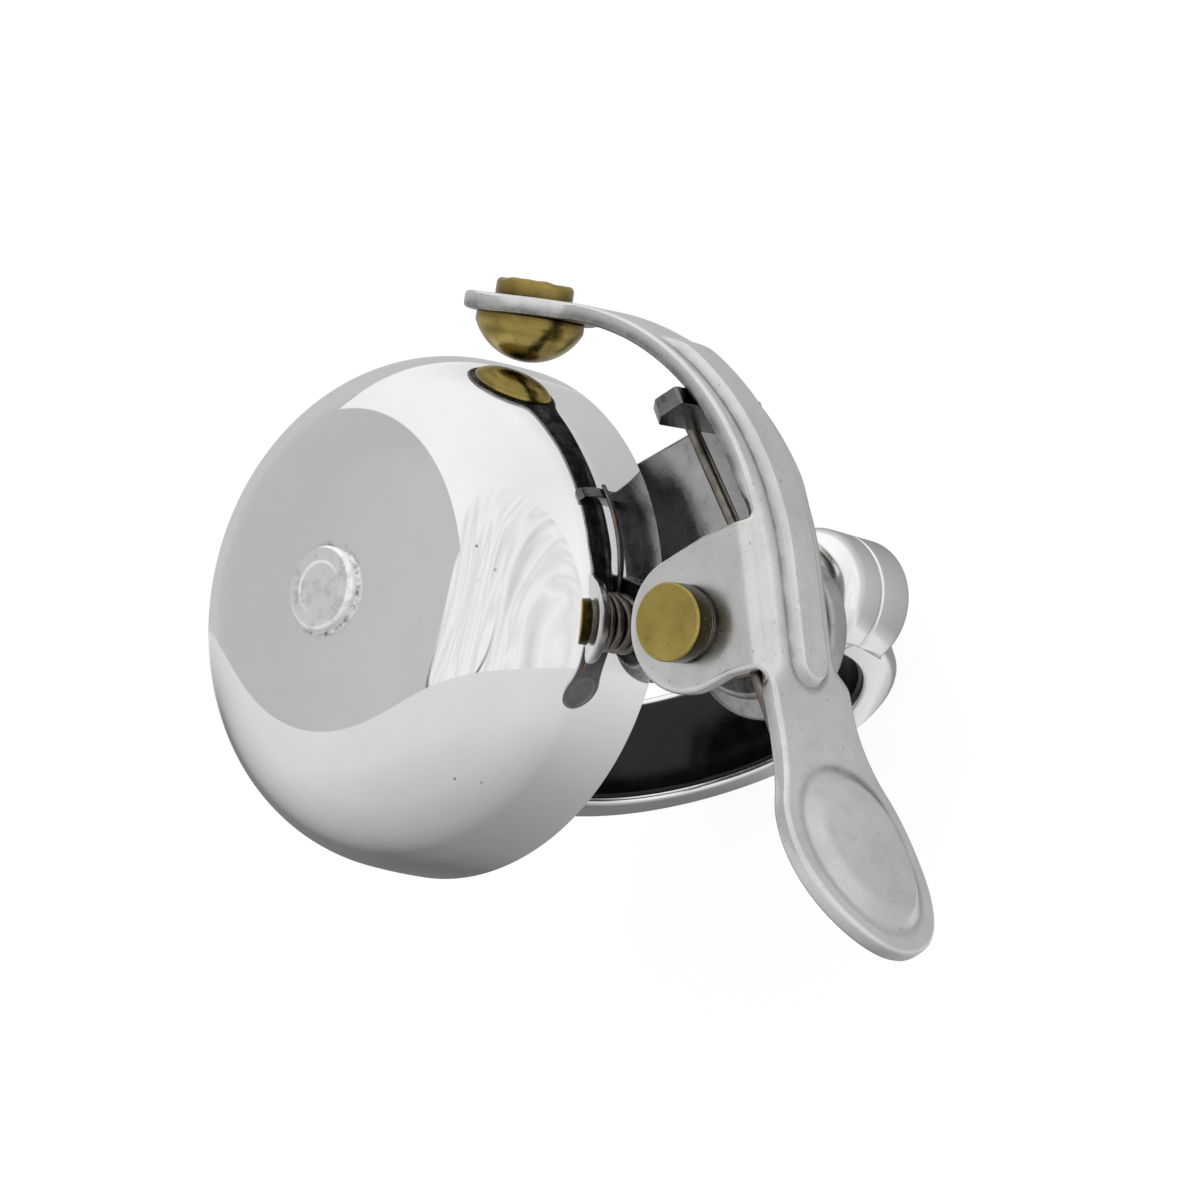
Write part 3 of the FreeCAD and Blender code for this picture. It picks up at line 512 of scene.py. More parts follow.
saddle_circles = [(DOME_LINE + i * SADDLE_CORNERS[0], j * SADDLE_CORNERS[1], SADDLE_CORNER_R)
                  for i in (-1, 1) for j in (-1, 1)]
saddle_grid = slab(saddle_circles, SADDLE_LOW, HUB_TOP - ARM_THICK / 2, SADDLE_LOW_EDGE, SADDLE_EDGE)
# the rows of the lower edge follow the band
low_rows = saddle_grid[:len(saddle_grid) // 2]
low_rows[..., 2] = np.sqrt(np.maximum((BAND_OUT - SADDLE_SINK) ** 2 - low_rows[..., 1] ** 2, 0))
saddle = surface("bracket_saddle", saddle_grid, rough_cast, looped=True, ends=True)
for piece in (arm, boss, plate, hub, saddle):
    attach(piece, "bell_body")
    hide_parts("base_bracket")
finish_node("locating_pins", steel)

# ---- Spacer sleeve and washers under the dome ----
# A turned steel sleeve on a steel washer carries the dome's crown, and a fibre washer between
# sleeve and crown lets the dome ring. The rivet holds the stack together.
fibre = Look(bpy.data.materials.new("pressed_fibre"))
fibre.set(Base_Color=mottled(fibre, 1400, 8, 0.7, (0.3, (0.05, 0.042, 0.035)), (0.7, (0.12, 0.1, 0.085))),
          Roughness=0.75)
relief(fibre, 3000, 5, 0.7, 0.04, 0.7)
finish_node("hub_washer", steel)
finish_node("spacer_sleeve", steel)
finish_node("dome_washer", fibre)

# ---- Dome ----
# The bell itself: a thick shell, spun, polished and chromed to a mirror, with a rounded
# shoulder and an open mouth. It hangs by its crown from the rivet.
DOME_R = 22.25
DOME_HEIGHT = 16.8
DOME_WALL = 1.8
WALL_ARC_R = 60.0
SHOULDER_ARC_R = 12.0
CROWN_ARC_R = 110.0
RIM_EDGE = 0.3
RIVET_R = 2.0


def dome_line(inset, steps):
    """Half section of the shell at a depth under its outer face: three tangent arcs, the wall
    upright at the rim, the shoulder, and the crown level on the axis. The shoulder's centre is
    where circles round the other two centres meet."""
    wall = np.array([DOME_R - WALL_ARC_R, 0.0])
    crown = np.array([0.0, DOME_HEIGHT - CROWN_ARC_R])
    to_wall, to_crown = WALL_ARC_R - SHOULDER_ARC_R, CROWN_ARC_R - SHOULDER_ARC_R
    span = np.linalg.norm(crown - wall)
    along = (to_wall ** 2 - to_crown ** 2 + span ** 2) / (2 * span)
    way = (crown - wall) / span
    square = np.array([-way[1], way[0]])
    shoulder = wall + way * along + square * math.sqrt(to_wall ** 2 - along ** 2)
    low = math.atan2(*(shoulder - wall)[::-1])
    high = math.atan2(*(shoulder - crown)[::-1])
    end = math.pi / 2 - math.asin(RIVET_R / CROWN_ARC_R)
    arcs = [(wall, WALL_ARC_R, np.linspace(0, low, steps[0])[:-1]),
            (shoulder, SHOULDER_ARC_R, np.linspace(low, high, steps[1])[:-1]),
            (crown, CROWN_ARC_R, np.linspace(high, end, steps[2]))]
    return np.vstack([centre + (radius - inset) * np.column_stack([np.cos(angle), np.sin(angle)])
                      for centre, radius, angle in arcs])


def maths(look, operation, *values):
    """Result of one maths node on sockets or plain numbers."""
    return look.add("Math", dict(enumerate(values)), operation=operation)


def blend_tone(look, factor, first, second):
    """Mix of two colours by a factor; each is a socket or a plain colour."""
    return look.add("Mix", {"Factor": factor, 6: first, 7: second}, output=2, data_type="RGBA")


def stain(look, amount, colour):
    """Cover a look's tone with a colour, as strongly as an amount from 0 to 1 says."""
    clean = look.shader.inputs["Base Color"].links[0].from_socket
    look.set(Base_Color=blend_tone(look, amount, clean, colour))


def add_marks(look):
    """Dark marks: a few round pits, one in each Voronoi cell where a slow noise lets it, and
    crumbs of grime close round the rivet, by the distance from the dome's axis."""
    cells = look.add("TexVoronoi", {"Vector": look.place, "Scale": 330}, output="Distance")
    pits = ramp(look, cells, (0.03, 1.0), (0.065, 0.0))
    few = mottled(look, 130, 2, 0.5, (0.52, 0.0), (0.6, 1.0))
    x, y, _ = look.add("SeparateXYZ", {0: look.place}).node.outputs
    x = maths(look, "SUBTRACT", x, DOME_LINE * MM)
    squares = [maths(look, "MULTIPLY", part, part) for part in (x, y)]
    spoke = maths(look, "SQRT", maths(look, "ADD", *squares))
    # a ramp tells only 256 places apart, so the distance is counted in centimetres
    spoke = maths(look, "MULTIPLY", spoke, 100.0)
    beside_rivet = ramp(look, spoke, (0.37, 0.95), (0.385, 0.5), (0.425, 0.0))
    crumbs = mottled(look, 1500, 5, 0.75, (0.47, 0.0), (0.6, 0.9))
    marks = [maths(look, "MULTIPLY", *pair) for pair in ((pits, few), (beside_rivet, crumbs))]
    stain(look, maths(look, "MAXIMUM", *marks), (0.10, 0.095, 0.09))


outside = dome_line(0, (24, 40, 24))
inside = dome_line(DOME_WALL, (14, 20, 10))
outside[0, 1] += RIM_EDGE
inside[0, 1] += RIM_EDGE
rim = rounded([inside[0], inside[0] - (0, RIM_EDGE), outside[0] - (0, RIM_EDGE), outside[0]],
              [0, 0.2, 0.28, 0], 5)
dome_section = np.vstack([inside[::-1][:-1], rim, outside[1:]])
dome_chrome = plated("mirror_dome_chrome", (0.86, 0.86, 0.865), (0.008, 0.035), (90, 0.008))
add_marks(dome_chrome)
dome_inside_dull_and_shaded = plated("dull_inner_plating_painted_shade", (0.30, 0.30, 0.31), (0.22, 0.4), (300, 0.02))
# the inner wall and the first of the rim's rounding are left dull, and painted darker as shade inside the
# mouth
is_inside = np.arange(len(dome_section)) < len(inside) + 2
dome_grid = turned(dome_section, full_turn(320), centre=(DOME_LINE, 0, RIM_LEVEL))
dome = surface("bell_shell", dome_grid, dome_chrome, around=True, looped=True,
               lining=(dome_inside_dull_and_shaded, is_inside))
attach(dome, "bell_body")
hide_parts("bell_dome")

# ---- Centre rivet ----
# A soft aluminium rivet through the whole stack, with a low button head on the crown that
# the setting tool has left slightly dented, and a countersunk foot inside the band.
RIVET_HEAD_R = 3.65
RIVET_HEAD_HEIGHT = 0.9
RIVET_HEAD_DROP = 0.08
RIVET_DENT_R = 2.1
RIVET_DENT_EDGE_R = 2.35
RIVET_DENT_DEPTH = 0.1
RIVET_MIDDLE_DEPTH = 0.12
RIVET_FOOT_GAP = 0.1
RIVET_SINK_R = 3.6
crown_top = RIM_LEVEL + DOME_HEIGHT
head_top = crown_top + RIVET_HEAD_HEIGHT
head_foot = crown_top - RIVET_HEAD_DROP
foot_level = BAND_IN + RIVET_FOOT_GAP
rivet_line = rounded([(0, head_top - RIVET_MIDDLE_DEPTH), (RIVET_DENT_R, head_top - RIVET_DENT_DEPTH),
                      (RIVET_DENT_EDGE_R, head_top), (RIVET_HEAD_R, head_top - RIVET_HEAD_DROP),
                      (RIVET_HEAD_R, head_foot), (RIVET_R, head_foot),
                      (RIVET_R, foot_level + RIVET_SINK_R - RIVET_R), (RIVET_SINK_R, foot_level),
                      (0, foot_level)], [0, 0.2, 0.2, 0.5, 0, 0, 0, 0, 0], 6)
rivet_metal = metal("bright_rivet_aluminium", (900, 6, 0.65, (0.32, 0.70), (0.5, 0.93)),
                    (700, 4, 0.6, (0.3, 0.16), (0.8, 0.3)), (420, 3, 0.5, 0.05, 0.8))
rivet_grid = turned(rivet_line, full_turn(96), centre=(DOME_LINE, 0, 0))
rivet = surface("crown_rivet", rivet_grid, rivet_metal, around=True)
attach(rivet, "bell_body")
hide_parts("centre_rivet")

# ---- Pivot pin, washers, sleeve and clip ----
# A turned brass pin with a plain cylindrical head goes through the ears, the spring's sleeve
# and the boss, where a spring clip snaps into its groove. Thin washers keep the ears apart.
PIN_R = 2.0
PIN_HEAD_R = 3.15
PIN_HEAD_HEIGHT = 1.9
PIN_HEAD_EDGE = 0.22
PIN_GROOVE_R = 1.5
PIN_GROOVE_WIDTH = 0.65
PIN_TAIL = 1.7
HEAD_WASHER_ROOM = 0.4
EAR_OUTER = 4.85


def painted_shade_patches(look, scale, detail, low, high):
    """How strongly painted shade covers a place: the mesh's own depth of painted shade, in patches."""
    depth = look.add("Attribute", {}, output="Fac", attribute_name="painted_shade_depth")
    patches = mottled(look, scale, detail, 0.6, (0.3, low), (0.6, high))
    return maths(look, "MULTIPLY", depth, patches)


def aged_brass(name, grain, depth=1.0):
    """Old brass: olive gold, browner and greener patches, small dark spots, soft gloss, and
    painted shade where the mesh's attribute asks for it; a depth below one darkens it all, as painted
    shade."""
    golds = [(0.28, (0.27, 0.205, 0.06)), (0.44, (0.39, 0.30, 0.085)), (0.62, (0.45, 0.345, 0.10)),
             (0.8, (0.50, 0.39, 0.13))]
    look = metal(name, (420, 6, 0.6, *[(at, dimmed(colour, depth)) for at, colour in golds]),
                 (800, 5, 0.6, (0.3, 0.18), (0.75, 0.36)), (1100, 5, 0.6, grain, 0.7))
    # painted shade, in patches, wherever the mesh's attribute asks for it
    stain(look, painted_shade_patches(look, 600, 5, 0.6, 1.0), (0.085, 0.05, 0.018))
    stain(look, mottled(look, 2300, 3, 0.6, (0.66, 0.0), (0.72, 1.0)), (0.2, 0.15, 0.06))
    return look


brass = aged_brass("aged_brass", 0.02)
brass_painted_shade = aged_brass("brass_with_painted_shade", 0.03, 0.09)
head_low = EAR_OUTER + HEAD_WASHER_ROOM
head_high = head_low + PIN_HEAD_HEIGHT
groove_end = ARM_BOTTOM - PIN_GROOVE_WIDTH
tail = ARM_BOTTOM - PIN_TAIL
pin_line = rounded([(0, head_high), (PIN_HEAD_R, head_high), (PIN_HEAD_R, head_low), (PIN_R, head_low),
                    (PIN_R, ARM_BOTTOM), (PIN_GROOVE_R, ARM_BOTTOM), (PIN_GROOVE_R, groove_end),
                    (PIN_R, groove_end), (PIN_R, tail), (0, tail)],
                   [0, PIN_HEAD_EDGE, 0.15, 0, 0, 0, 0, 0, 0.3, 0], 5)
# the head's wall and underside, from the end of its upper edge to the shank, are painted dark as shade
column = np.arange(len(pin_line) - 1)
pin = surface("hinge_pin", from_lever(turned(pin_line, full_turn(96))), brass, around=True,
              lining=(brass_painted_shade, (column >= 6) & (column <= 12)))
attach(pin, "bell_body")
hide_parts("pivot_pin")
wire_steel = turned_steel("dark_spring_steel", (0.34, 0.31, 0.275), (0.16, 0.14, 0.12), (0.28, 0.45))
finish_node("head_washer", wire_steel)
finish_node("boss_washer", fibre)
finish_node("spring_sleeve", brass)
finish_node("pin_clip", wire_steel)

# ---- Torsion spring ----
# Round drawn wire wound over the sleeve between the ears. One leg hooks on the stop plate,
# the other presses behind the lever's lower part.
WIRE_R = 0.55
COIL_R = 3.5
COIL_TURNS = 4
COIL_END_PLAY = 0.2
UPPER_LEG_PAST = 0.2
LOWER_LEG_REACH = 13.0
EAR_INNER = EAR_OUTER - SHEET
half = EAR_INNER - COIL_END_PLAY - WIRE_R
upper_tip = np.array([STOP_LINE + STOP_THICK + UPPER_LEG_PAST, stop_y + STOP_WIDTH + 1.4 * WIRE_R])
lower_tip = np.array([-LOWER_LEG_REACH, inner_face(-LOWER_LEG_REACH) + WIRE_R + FIT_PLAY])
upper_angle = math.atan2(upper_tip[1], upper_tip[0]) - math.acos(COIL_R / np.linalg.norm(upper_tip))
lower_angle = math.atan2(lower_tip[1], lower_tip[0]) + math.acos(COIL_R / np.linalg.norm(lower_tip))
sweep = COIL_TURNS * 2 * math.pi + (upper_angle - lower_angle) % (2 * math.pi)
wound = np.linspace(0, 1, 260)
angle = upper_angle - sweep * wound
coil = np.column_stack([COIL_R * np.cos(angle), COIL_R * np.sin(angle), half * (2 * wound - 1)])
upper_leg = np.linspace(np.append(upper_tip, -half), coil[0], 24)[:-1]
lower_leg = np.linspace(coil[-1], np.append(lower_tip, half), 30)[1:]


def wire(path, radius, steps=14):
    """Round wire along a path: circles square to the path's direction, their first axis kept
    square to the coil's axis, and both ends rolled in to a point."""
    ahead = np.gradient(path, axis=0)
    ahead /= np.linalg.norm(ahead, axis=1, keepdims=True)
    across = np.cross(ahead, [0, 0, 1.0])
    across /= np.linalg.norm(across, axis=1, keepdims=True)
    up = np.cross(across, ahead)
    end_size = np.array([0, 0.6, 0.9, 1.0]) * radius
    end_place = np.array([0, 0, 0.06, 0.16])[:, None] * radius
    starts = path[:1] + ahead[:1] * end_place
    stops = path[-1:] - ahead[-1:] * end_place[::-1]
    spine = np.vstack([starts, path[1:-1], stops])
    size = np.concatenate([end_size, np.full(len(path) - 2, radius), end_size[::-1]])
    across, up = [np.vstack([axis[[0] * 4], axis[1:-1], axis[[-1] * 4]]) for axis in (across, up)]
    angles = full_turn(steps)
    ring = np.cos(angles)[None, :, None] * across[:, None] + np.sin(angles)[None, :, None] * up[:, None]
    return spine[:, None] + size[:, None, None] * ring


spring_grid = from_lever(wire(np.vstack([upper_leg, coil, lower_leg]), WIRE_R))
spring = surface("spring_wire", spring_grid, wire_steel, looped=True, sharp=60)
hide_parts("torsion_spring")
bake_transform(spring)

# ---- Striker lever ----
# One pressing of polished aluminium sheet: the tab for the hammer, a curved arm with a raised
# rib, two ears folded in round the pivot, a waist, and a thumb pad raised inside its flat rim.
LEVER_HALF_WIDTH = 4.2
NECK_HALF_WIDTH = 2.9
WAIST_HALF_WIDTH = 4.9
EAR_R = 5.6
EAR_LOW_LENGTH = 5.2
EAR_HIGH_LENGTH = 2.4
PAD_CENTRE = -21.0
PAD_HALF_WIDTH = 8.05
PAD_SHIFT = 0.65
PAD_FILLET_R = 12.0
RIB_HALF_WIDTH = 2.2
RIB_HEIGHT = 0.8
RIB_SLOPE = 0.7
RIB_START = -8.3
RIB_END = 24.0
NECK_START = 26.0
ARM_ROOT_R = 0.7
WAIST_ROOT_R = 0.9
PAD_RISE = 0.6
PAD_MARGIN = 1.9
GROOVE_PLACE = -0.12
GROOVE_DEPTH = 0.18
FOLD_R = 2.2
FOLD_START = EAR_OUTER - FOLD_R
FOLD_LENGTH = FOLD_R * math.pi / 2
TAB_FILLET_R = 3.0
EDGE_R = 0.4


def arc(centre, radius, first, last, steps):
    """Points of a circle between two angles in degrees."""
    angles = np.radians(np.linspace(first, last, steps))
    return np.asarray(centre) + radius * np.column_stack([np.cos(angles), np.sin(angles)])


def blank_of_ear(points):
    """Where points of the ear, seen along the pin, lie on the flat blank: their length along
    the lever, and their distance across it measured round the fold."""
    points = np.asarray(points, float)
    gap = points[:, None] - side_line[None]
    nearest = np.argmin((gap ** 2).sum(-1), axis=1)
    depth = np.linalg.norm(points - side_line[nearest], axis=1)
    return np.column_stack([side_length[nearest], FOLD_START + FOLD_LENGTH + depth - FOLD_R])


def fillet(centre, radius, level, fillet_r):
    """Angle and centre of a fillet from a circle on the middle line to a straight edge: its
    centre is a fillet radius above that edge, and both radii away from the circle's centre."""
    reach, rise = radius + fillet_r, level + fillet_r
    return math.degrees(math.asin(rise / reach)), (centre + math.sqrt(reach ** 2 - rise ** 2), rise)


# half of the flat blank's outline, from the tab's end round to the tip of the thumb pad
touch, fillet_centre = fillet(TAB_R, TAB_R, NECK_HALF_WIDTH, TAB_FILLET_R)
tab_edge = arc((TAB_R, 0), TAB_R, 180, touch, 40)
tab_fillet = arc(fillet_centre, TAB_FILLET_R, 180 + touch, 270, 10)
neck_s = float(length_at(NECK_START))
ear_low = blank_of_ear(np.column_stack([np.full(8, EAR_R), np.linspace(-EAR_LOW_LENGTH, 0, 8)]))
ear_round = blank_of_ear(arc((0, 0), EAR_R, 0, 180, 40)[1:-1])
ear_high = blank_of_ear(np.column_stack([np.full(8, -EAR_R), np.linspace(0, -EAR_HIGH_LENGTH, 8)]))
root_low = (ear_low[0, 0], LEVER_HALF_WIDTH)
root_high = (ear_high[-1, 0], WAIST_HALF_WIDTH)
touch, fillet_centre = fillet(PAD_CENTRE, PAD_HALF_WIDTH, WAIST_HALF_WIDTH, PAD_FILLET_R)
pad_fillet = arc(fillet_centre, PAD_FILLET_R, 270, 180 + touch, 16)
pad_side = arc((PAD_CENTRE, 0), PAD_HALF_WIDTH, touch, 90, 12)
tip_turn = np.linspace(0, math.pi / 2, 40)
pad_tip = np.column_stack([PAD_CENTRE - (PAD_CENTRE - LEVER_TIP[0]) * np.sin(tip_turn),
                           PAD_HALF_WIDTH * np.cos(tip_turn)])
pad = np.vstack([pad_fillet, pad_side[1:], pad_tip[1:]])
pad = np.column_stack([length_at(pad[:, 0]), pad[:, 1]])
corners = np.vstack([tab_edge, tab_fillet[1:], (neck_s, NECK_HALF_WIDTH), root_low, ear_low[1:],
                     ear_round, ear_high[:-1], root_high, pad])
radii = np.zeros(len(corners))
radii[len(tab_edge) + len(tab_fillet)] = ARM_ROOT_R
radii[len(corners) - len(pad) - 1] = WAIST_ROOT_R
half_outline = rounded(corners, radii, 8)
length = line_length(half_outline)
stations = 380
outline = line_at(np.linspace(0, length[-1], stations), length, half_outline)
way = np.gradient(outline, axis=0)
way /= np.linalg.norm(way, axis=1, keepdims=True)
inward = np.column_stack([way[:, 1], -way[:, 0]])
inward[0], inward[-1] = (1, 0), (-1, 0)
# beside the ears the rows start evenly along the middle, because the outline turns back there
past_neck = outline[:, 0] > neck_s
ear_from = int(np.argmax(past_neck & (outline[:, 1] > LEVER_HALF_WIDTH + 0.6)))
ear_to = int(stations - np.argmax(outline[::-1, 1] > 12.0))
while outline[ear_to, 1] > WAIST_HALF_WIDTH + 0.7:
    ear_to += 1
middle = outline[:, 0].copy()
middle[ear_from:ear_to] = np.linspace(middle[ear_from], middle[ear_to], ear_to - ear_from, endpoint=False)


def smooth_step(value, low, high):
    """0 below low, 1 above high, and a smooth cubic between them."""
    t = np.clip((value - low) / (high - low), 0, 1)
    return t * t * (3 - 2 * t)


def bell_curve(value, middle, width):
    """1 at the middle, falling off on both sides as exp(-(distance / width) squared)."""
    return np.exp(-((value - middle) / width) ** 2)


def side_line_x(s):
    """Place along the lever frame's x of a length s along the blank."""
    return np.interp(s, side_length, side_line[:, 0])


def rib_distance(s, across):
    """Distance from the rib's centre line, which ends in a half circle towards the pad."""
    return np.hypot(np.clip(s - float(length_at(RIB_START)) + RIB_HALF_WIDTH, 0, None), across)


def rib_ends(s):
    """1 along the rib, fading out where it runs up into the arm."""
    return smooth_step(s, float(length_at(RIB_END)) - 0.6, float(length_at(RIB_END)) + 3.4)


def pad_distance(s, q):
    """Distance inside the raised pad's outline: the share of the way from an ellipse to its
    centre, times its half width; negative outside, and held level past the rim."""
    pad_x = side_line_x(s) - PAD_CENTRE
    long_half = np.where(pad_x < 0, PAD_CENTRE - LEVER_TIP[0], PAD_HALF_WIDTH) - PAD_MARGIN
    short_half = PAD_HALF_WIDTH - PAD_MARGIN
    return np.clip((1 - np.hypot(pad_x / long_half, q / short_half)) * short_half, -0.9, None)


def pressed(s, q, h):
    """Point of the pressing for a length s along the blank, a distance q across it and a
    height h outwards from the outer face. Past the fold line the sheet turns by an angle
    that grows with q; the turn fades out soon beside the ears' edges. The rib's plateau and
    the pad's pillow, which a groove surrounds, lift the whole sheet. Below the ears the
    blank drifts towards the bar, soonest on that side, so the waist is wider there."""
    point, into = along_lever(s)
    x = point[..., 0]
    across = np.abs(q)
    depth = np.clip(across - FOLD_START - FOLD_R * (math.pi / 2 - 1), 0, None)
    folded_x = x + into[..., 0] * depth
    past_ear = np.where(folded_x < 0, smooth_step(-folded_x, EAR_R + 0.3, EAR_R + 2.9),
                        smooth_step(folded_x, EAR_R + 0.3, EAR_R + 4.0))
    curve = (1 - 0.93 * past_ear) / FOLD_R
    past = np.clip(across - FOLD_START, 0, None)
    rolled = np.minimum(past, FOLD_LENGTH)
    phi = rolled * curve
    wide = np.minimum(across, FOLD_START) + np.sin(phi) / curve + (past - rolled) * np.cos(phi)
    deep = (1 - np.cos(phi)) / curve + (past - rolled) * np.sin(phi)
    slope = smooth_step(rib_distance(s, across), RIB_HALF_WIDTH - RIB_SLOPE, RIB_HALF_WIDTH)
    edge = pad_distance(s, q)
    shoulder = 1.0 + 1.2 * smooth_step(q, -2.0, 2.5)
    pillow = 0.74 * smooth_step(edge, 0.0, shoulder) + 0.26 * smooth_step(edge, 0.3, 5.0)
    groove = GROOVE_DEPTH * bell_curve(edge, GROOVE_PLACE, 0.35)
    lift = h + RIB_HEIGHT * ((1 - slope) * rib_ends(s)) + PAD_RISE * (pillow - groove)
    side = np.sign(q)
    below = smooth_step(-x, 12.0, -PAD_CENTRE)
    beside = smooth_step(-x, EAR_R + 0.2, EAR_R + 2.4) * np.minimum(across / WAIST_HALF_WIDTH, 1)
    drift = PAD_SHIFT * np.where(side < 0, np.maximum(below, beside), below)
    plane = point + into * (deep - lift * np.cos(phi))[..., None]
    return np.stack([plane[..., 0], plane[..., 1], side * (wide + lift * np.sin(phi)) - drift], -1)


# each row goes over the outer face, round the rolled edge, back along the inner face, and the
# same on the other side; it starts at the middle and reaches the outline's inset point
RIB_SHARE = 0.62
RIB_REACH = 3.4
edge_inset, edge_depth = rolled_edges(0, SHEET, EDGE_R, EDGE_R, 4)
near = np.linspace(0, 1, 21)[None, :-1]
far = np.linspace(0, 1, 23)[None, :] ** 1.15
inset_s, inset_q = (outline + EDGE_R * inward).T
inset_q = np.clip(inset_q, 0, None)[:, None]
first_part = np.minimum(RIB_REACH, RIB_SHARE * inset_q)
face_q = np.hstack([first_part * near, first_part + (inset_q - first_part) * far])
portion = face_q / np.clip(inset_q, 1e-9, None)
portion[inset_q[:, 0] < 1e-6] = 1.0
centre_s = np.clip(middle, inset_s[0], inset_s[-1])[:, None]
face_s = centre_s + (inset_s[:, None] - centre_s) * portion
rim_s = outline[:, :1] + edge_inset[None, 1:-1] * inward[:, :1]
rim_q = np.clip(outline[:, 1:] + edge_inset[None, 1:-1] * inward[:, 1:], 0, None)
rim_q[0], rim_q[-1] = 0, 0
rim_h = np.broadcast_to(-edge_depth[None, 1:-1], rim_s.shape)


def full_row(outer, rim, inner, side=1):
    """Closed rows from the half rows of one side; side is the other side's sign."""
    far_side = [side * inner[:, 1:], side * rim[:, ::-1], side * outer[:, :0:-1]]
    return np.hstack([outer, rim, inner[:, ::-1]] + far_side)


loop_s, loop_q = full_row(face_s, rim_s, face_s), full_row(face_q, rim_q, face_q, -1)
loop_h = full_row(np.zeros_like(face_s), rim_h, np.full_like(face_s, -SHEET))


def painted_shade_depth(s, q, h):
    """How much painted shade a place gets: most along the foot of the rib and of the raised pad, a
    bell curve of the distance from that foot, stronger on the side towards the bar. The
    arm's inner face, which faces the dome, is painted dark all over as shade."""
    from_rib = rib_distance(s, np.abs(q)) - RIB_HALF_WIDTH
    edge = pad_distance(s, q)
    x = side_line_x(s)
    rib_foot = bell_curve(from_rib, 0.05, 0.32) * rib_ends(s)
    pad_foot = bell_curve(edge, GROOVE_PLACE, 0.32) * (edge > -0.8)
    shaded = 0.4 + 0.6 * smooth_step(-q, -2.5, 1.0)
    tipward = 0.35 + 0.65 * smooth_step(x, LEVER_TIP[0] - 1.0, PAD_CENTRE + 6.0)
    in_front = np.maximum(0.85 * rib_foot, shaded * pad_foot * tipward)
    return np.where(h > 0.5 - SHEET, in_front, smooth_step(x, -14.0, -6.0))


def sheet_aluminium(name, dark, light, gloss, shade_colour):
    """Sheet metal with a soft satin polish: clouds of tone, warm stains, small dark pits, fine
    grain, and painted shade in the creases."""
    look = metal(name, (150, 7, 0.6, (0.3, dark), (0.62, light)),
                 (420, 6, 0.6, (0.3, gloss[0]), (0.75, gloss[1])), (1500, 6, 0.6, 0.012, 0.6))
    warm = dimmed(dark, (0.83, 0.80, 0.765))
    stain(look, mottled(look, 330, 6, 0.7, (0.48, 0.0), (0.68, 0.42)), warm)
    stain(look, mottled(look, 2400, 3, 0.65, (0.64, 0.0), (0.72, 0.6)), dimmed(dark, 0.45))
    # painted shade: darker along the feet of the rib and the pad, and over the arm's inner face
    stain(look, painted_shade_patches(look, 500, 4, 0.55, 0.95), shade_colour)
    return look


lever_metal = sheet_aluminium("satin_sheet_aluminium", (0.67, 0.669, 0.668), (0.76, 0.76, 0.758),
                              (0.19, 0.33), (0.2, 0.195, 0.19))
# the inner face is rougher and unpolished, and painted darker as shade where it faces the dome
lever_back_painted_shade = sheet_aluminium("unpolished_sheet_back_painted_shade", (0.26, 0.255, 0.25), (0.34, 0.335, 0.33),
                             (0.30, 0.42), (0.03, 0.029, 0.028))
inner_column = loop_h.min(axis=0) < -SHEET + 0.01
# each point of the lever carries its depth of painted shade
lever = surface("pressed_lever", from_lever(pressed(loop_s, loop_q, loop_h)), lever_metal,
                looped=True, sharp=50, shade_depths=painted_shade_depth(loop_s, loop_q, loop_h),
                lining=(lever_back_painted_shade, inner_column & np.roll(inner_column, -1)))
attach(lever, "lever")
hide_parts("striker_lever")

# ---- Hammer ----
# Turned brass: a domed striking face with a short skirt on the bell's side of the tab, a
# shank through it, and a collar peened over on the outer side. It has gone dull with age.
HAMMER_R = 4.6
HAMMER_SKIRT = 0.8
HAMMER_HEIGHT = 3.8
HAMMER_SHANK_R = 2.0
HAMMER_COLLAR_R = 3.3
HAMMER_COLLAR_HEIGHT = 1.45
HAMMER_COLLAR_EDGE = 0.4
tab_outward = np.array([tab_along[1], -tab_along[0], 0.0])
under = -SHEET - FIT_PLAY
collar_top = FIT_PLAY + HAMMER_COLLAR_HEIGHT
cap = HAMMER_HEIGHT - HAMMER_SKIRT
ball_r = (HAMMER_R ** 2 + cap ** 2) / (2 * cap)
ball_angle = np.linspace(math.asin(HAMMER_R / ball_r), 0, 24)
ball = np.column_stack([ball_r * np.sin(ball_angle),
                        under - HAMMER_HEIGHT + ball_r * (1 - np.cos(ball_angle))])
collar = rounded([(0, collar_top), (HAMMER_COLLAR_R, collar_top), (HAMMER_COLLAR_R, FIT_PLAY),
                  (HAMMER_SHANK_R, FIT_PLAY), (HAMMER_SHANK_R, under), (HAMMER_R, under),
                  (HAMMER_R, under - HAMMER_SKIRT)], [0, HAMMER_COLLAR_EDGE, 0.1, 0, 0, 0.12, 0], 6)
hammer_line = np.vstack([collar[:-1], ball])
hammer_r, hammer_level = hammer_line.T
turns = full_turn(96)
hammer_grid = turned(hammer_line, turns, centre=(*HAMMER_POINT, 0), axis=tab_outward, start=(0, 0, 1))
# the peened collar's upper edge is a little uneven
uneven = sum(size * np.sin(waves * turns + shift)
             for size, waves, shift in ((0.05, 3, 0), (0.04, 7, 1), (0.03, 12, 2)))
on_edge = bell_curve(hammer_r, HAMMER_COLLAR_R, 0.7) * smooth_step(hammer_level, 0.7, 1.3)
hammer_grid = hammer_grid + (uneven[:, None] * on_edge)[..., None] * tab_outward
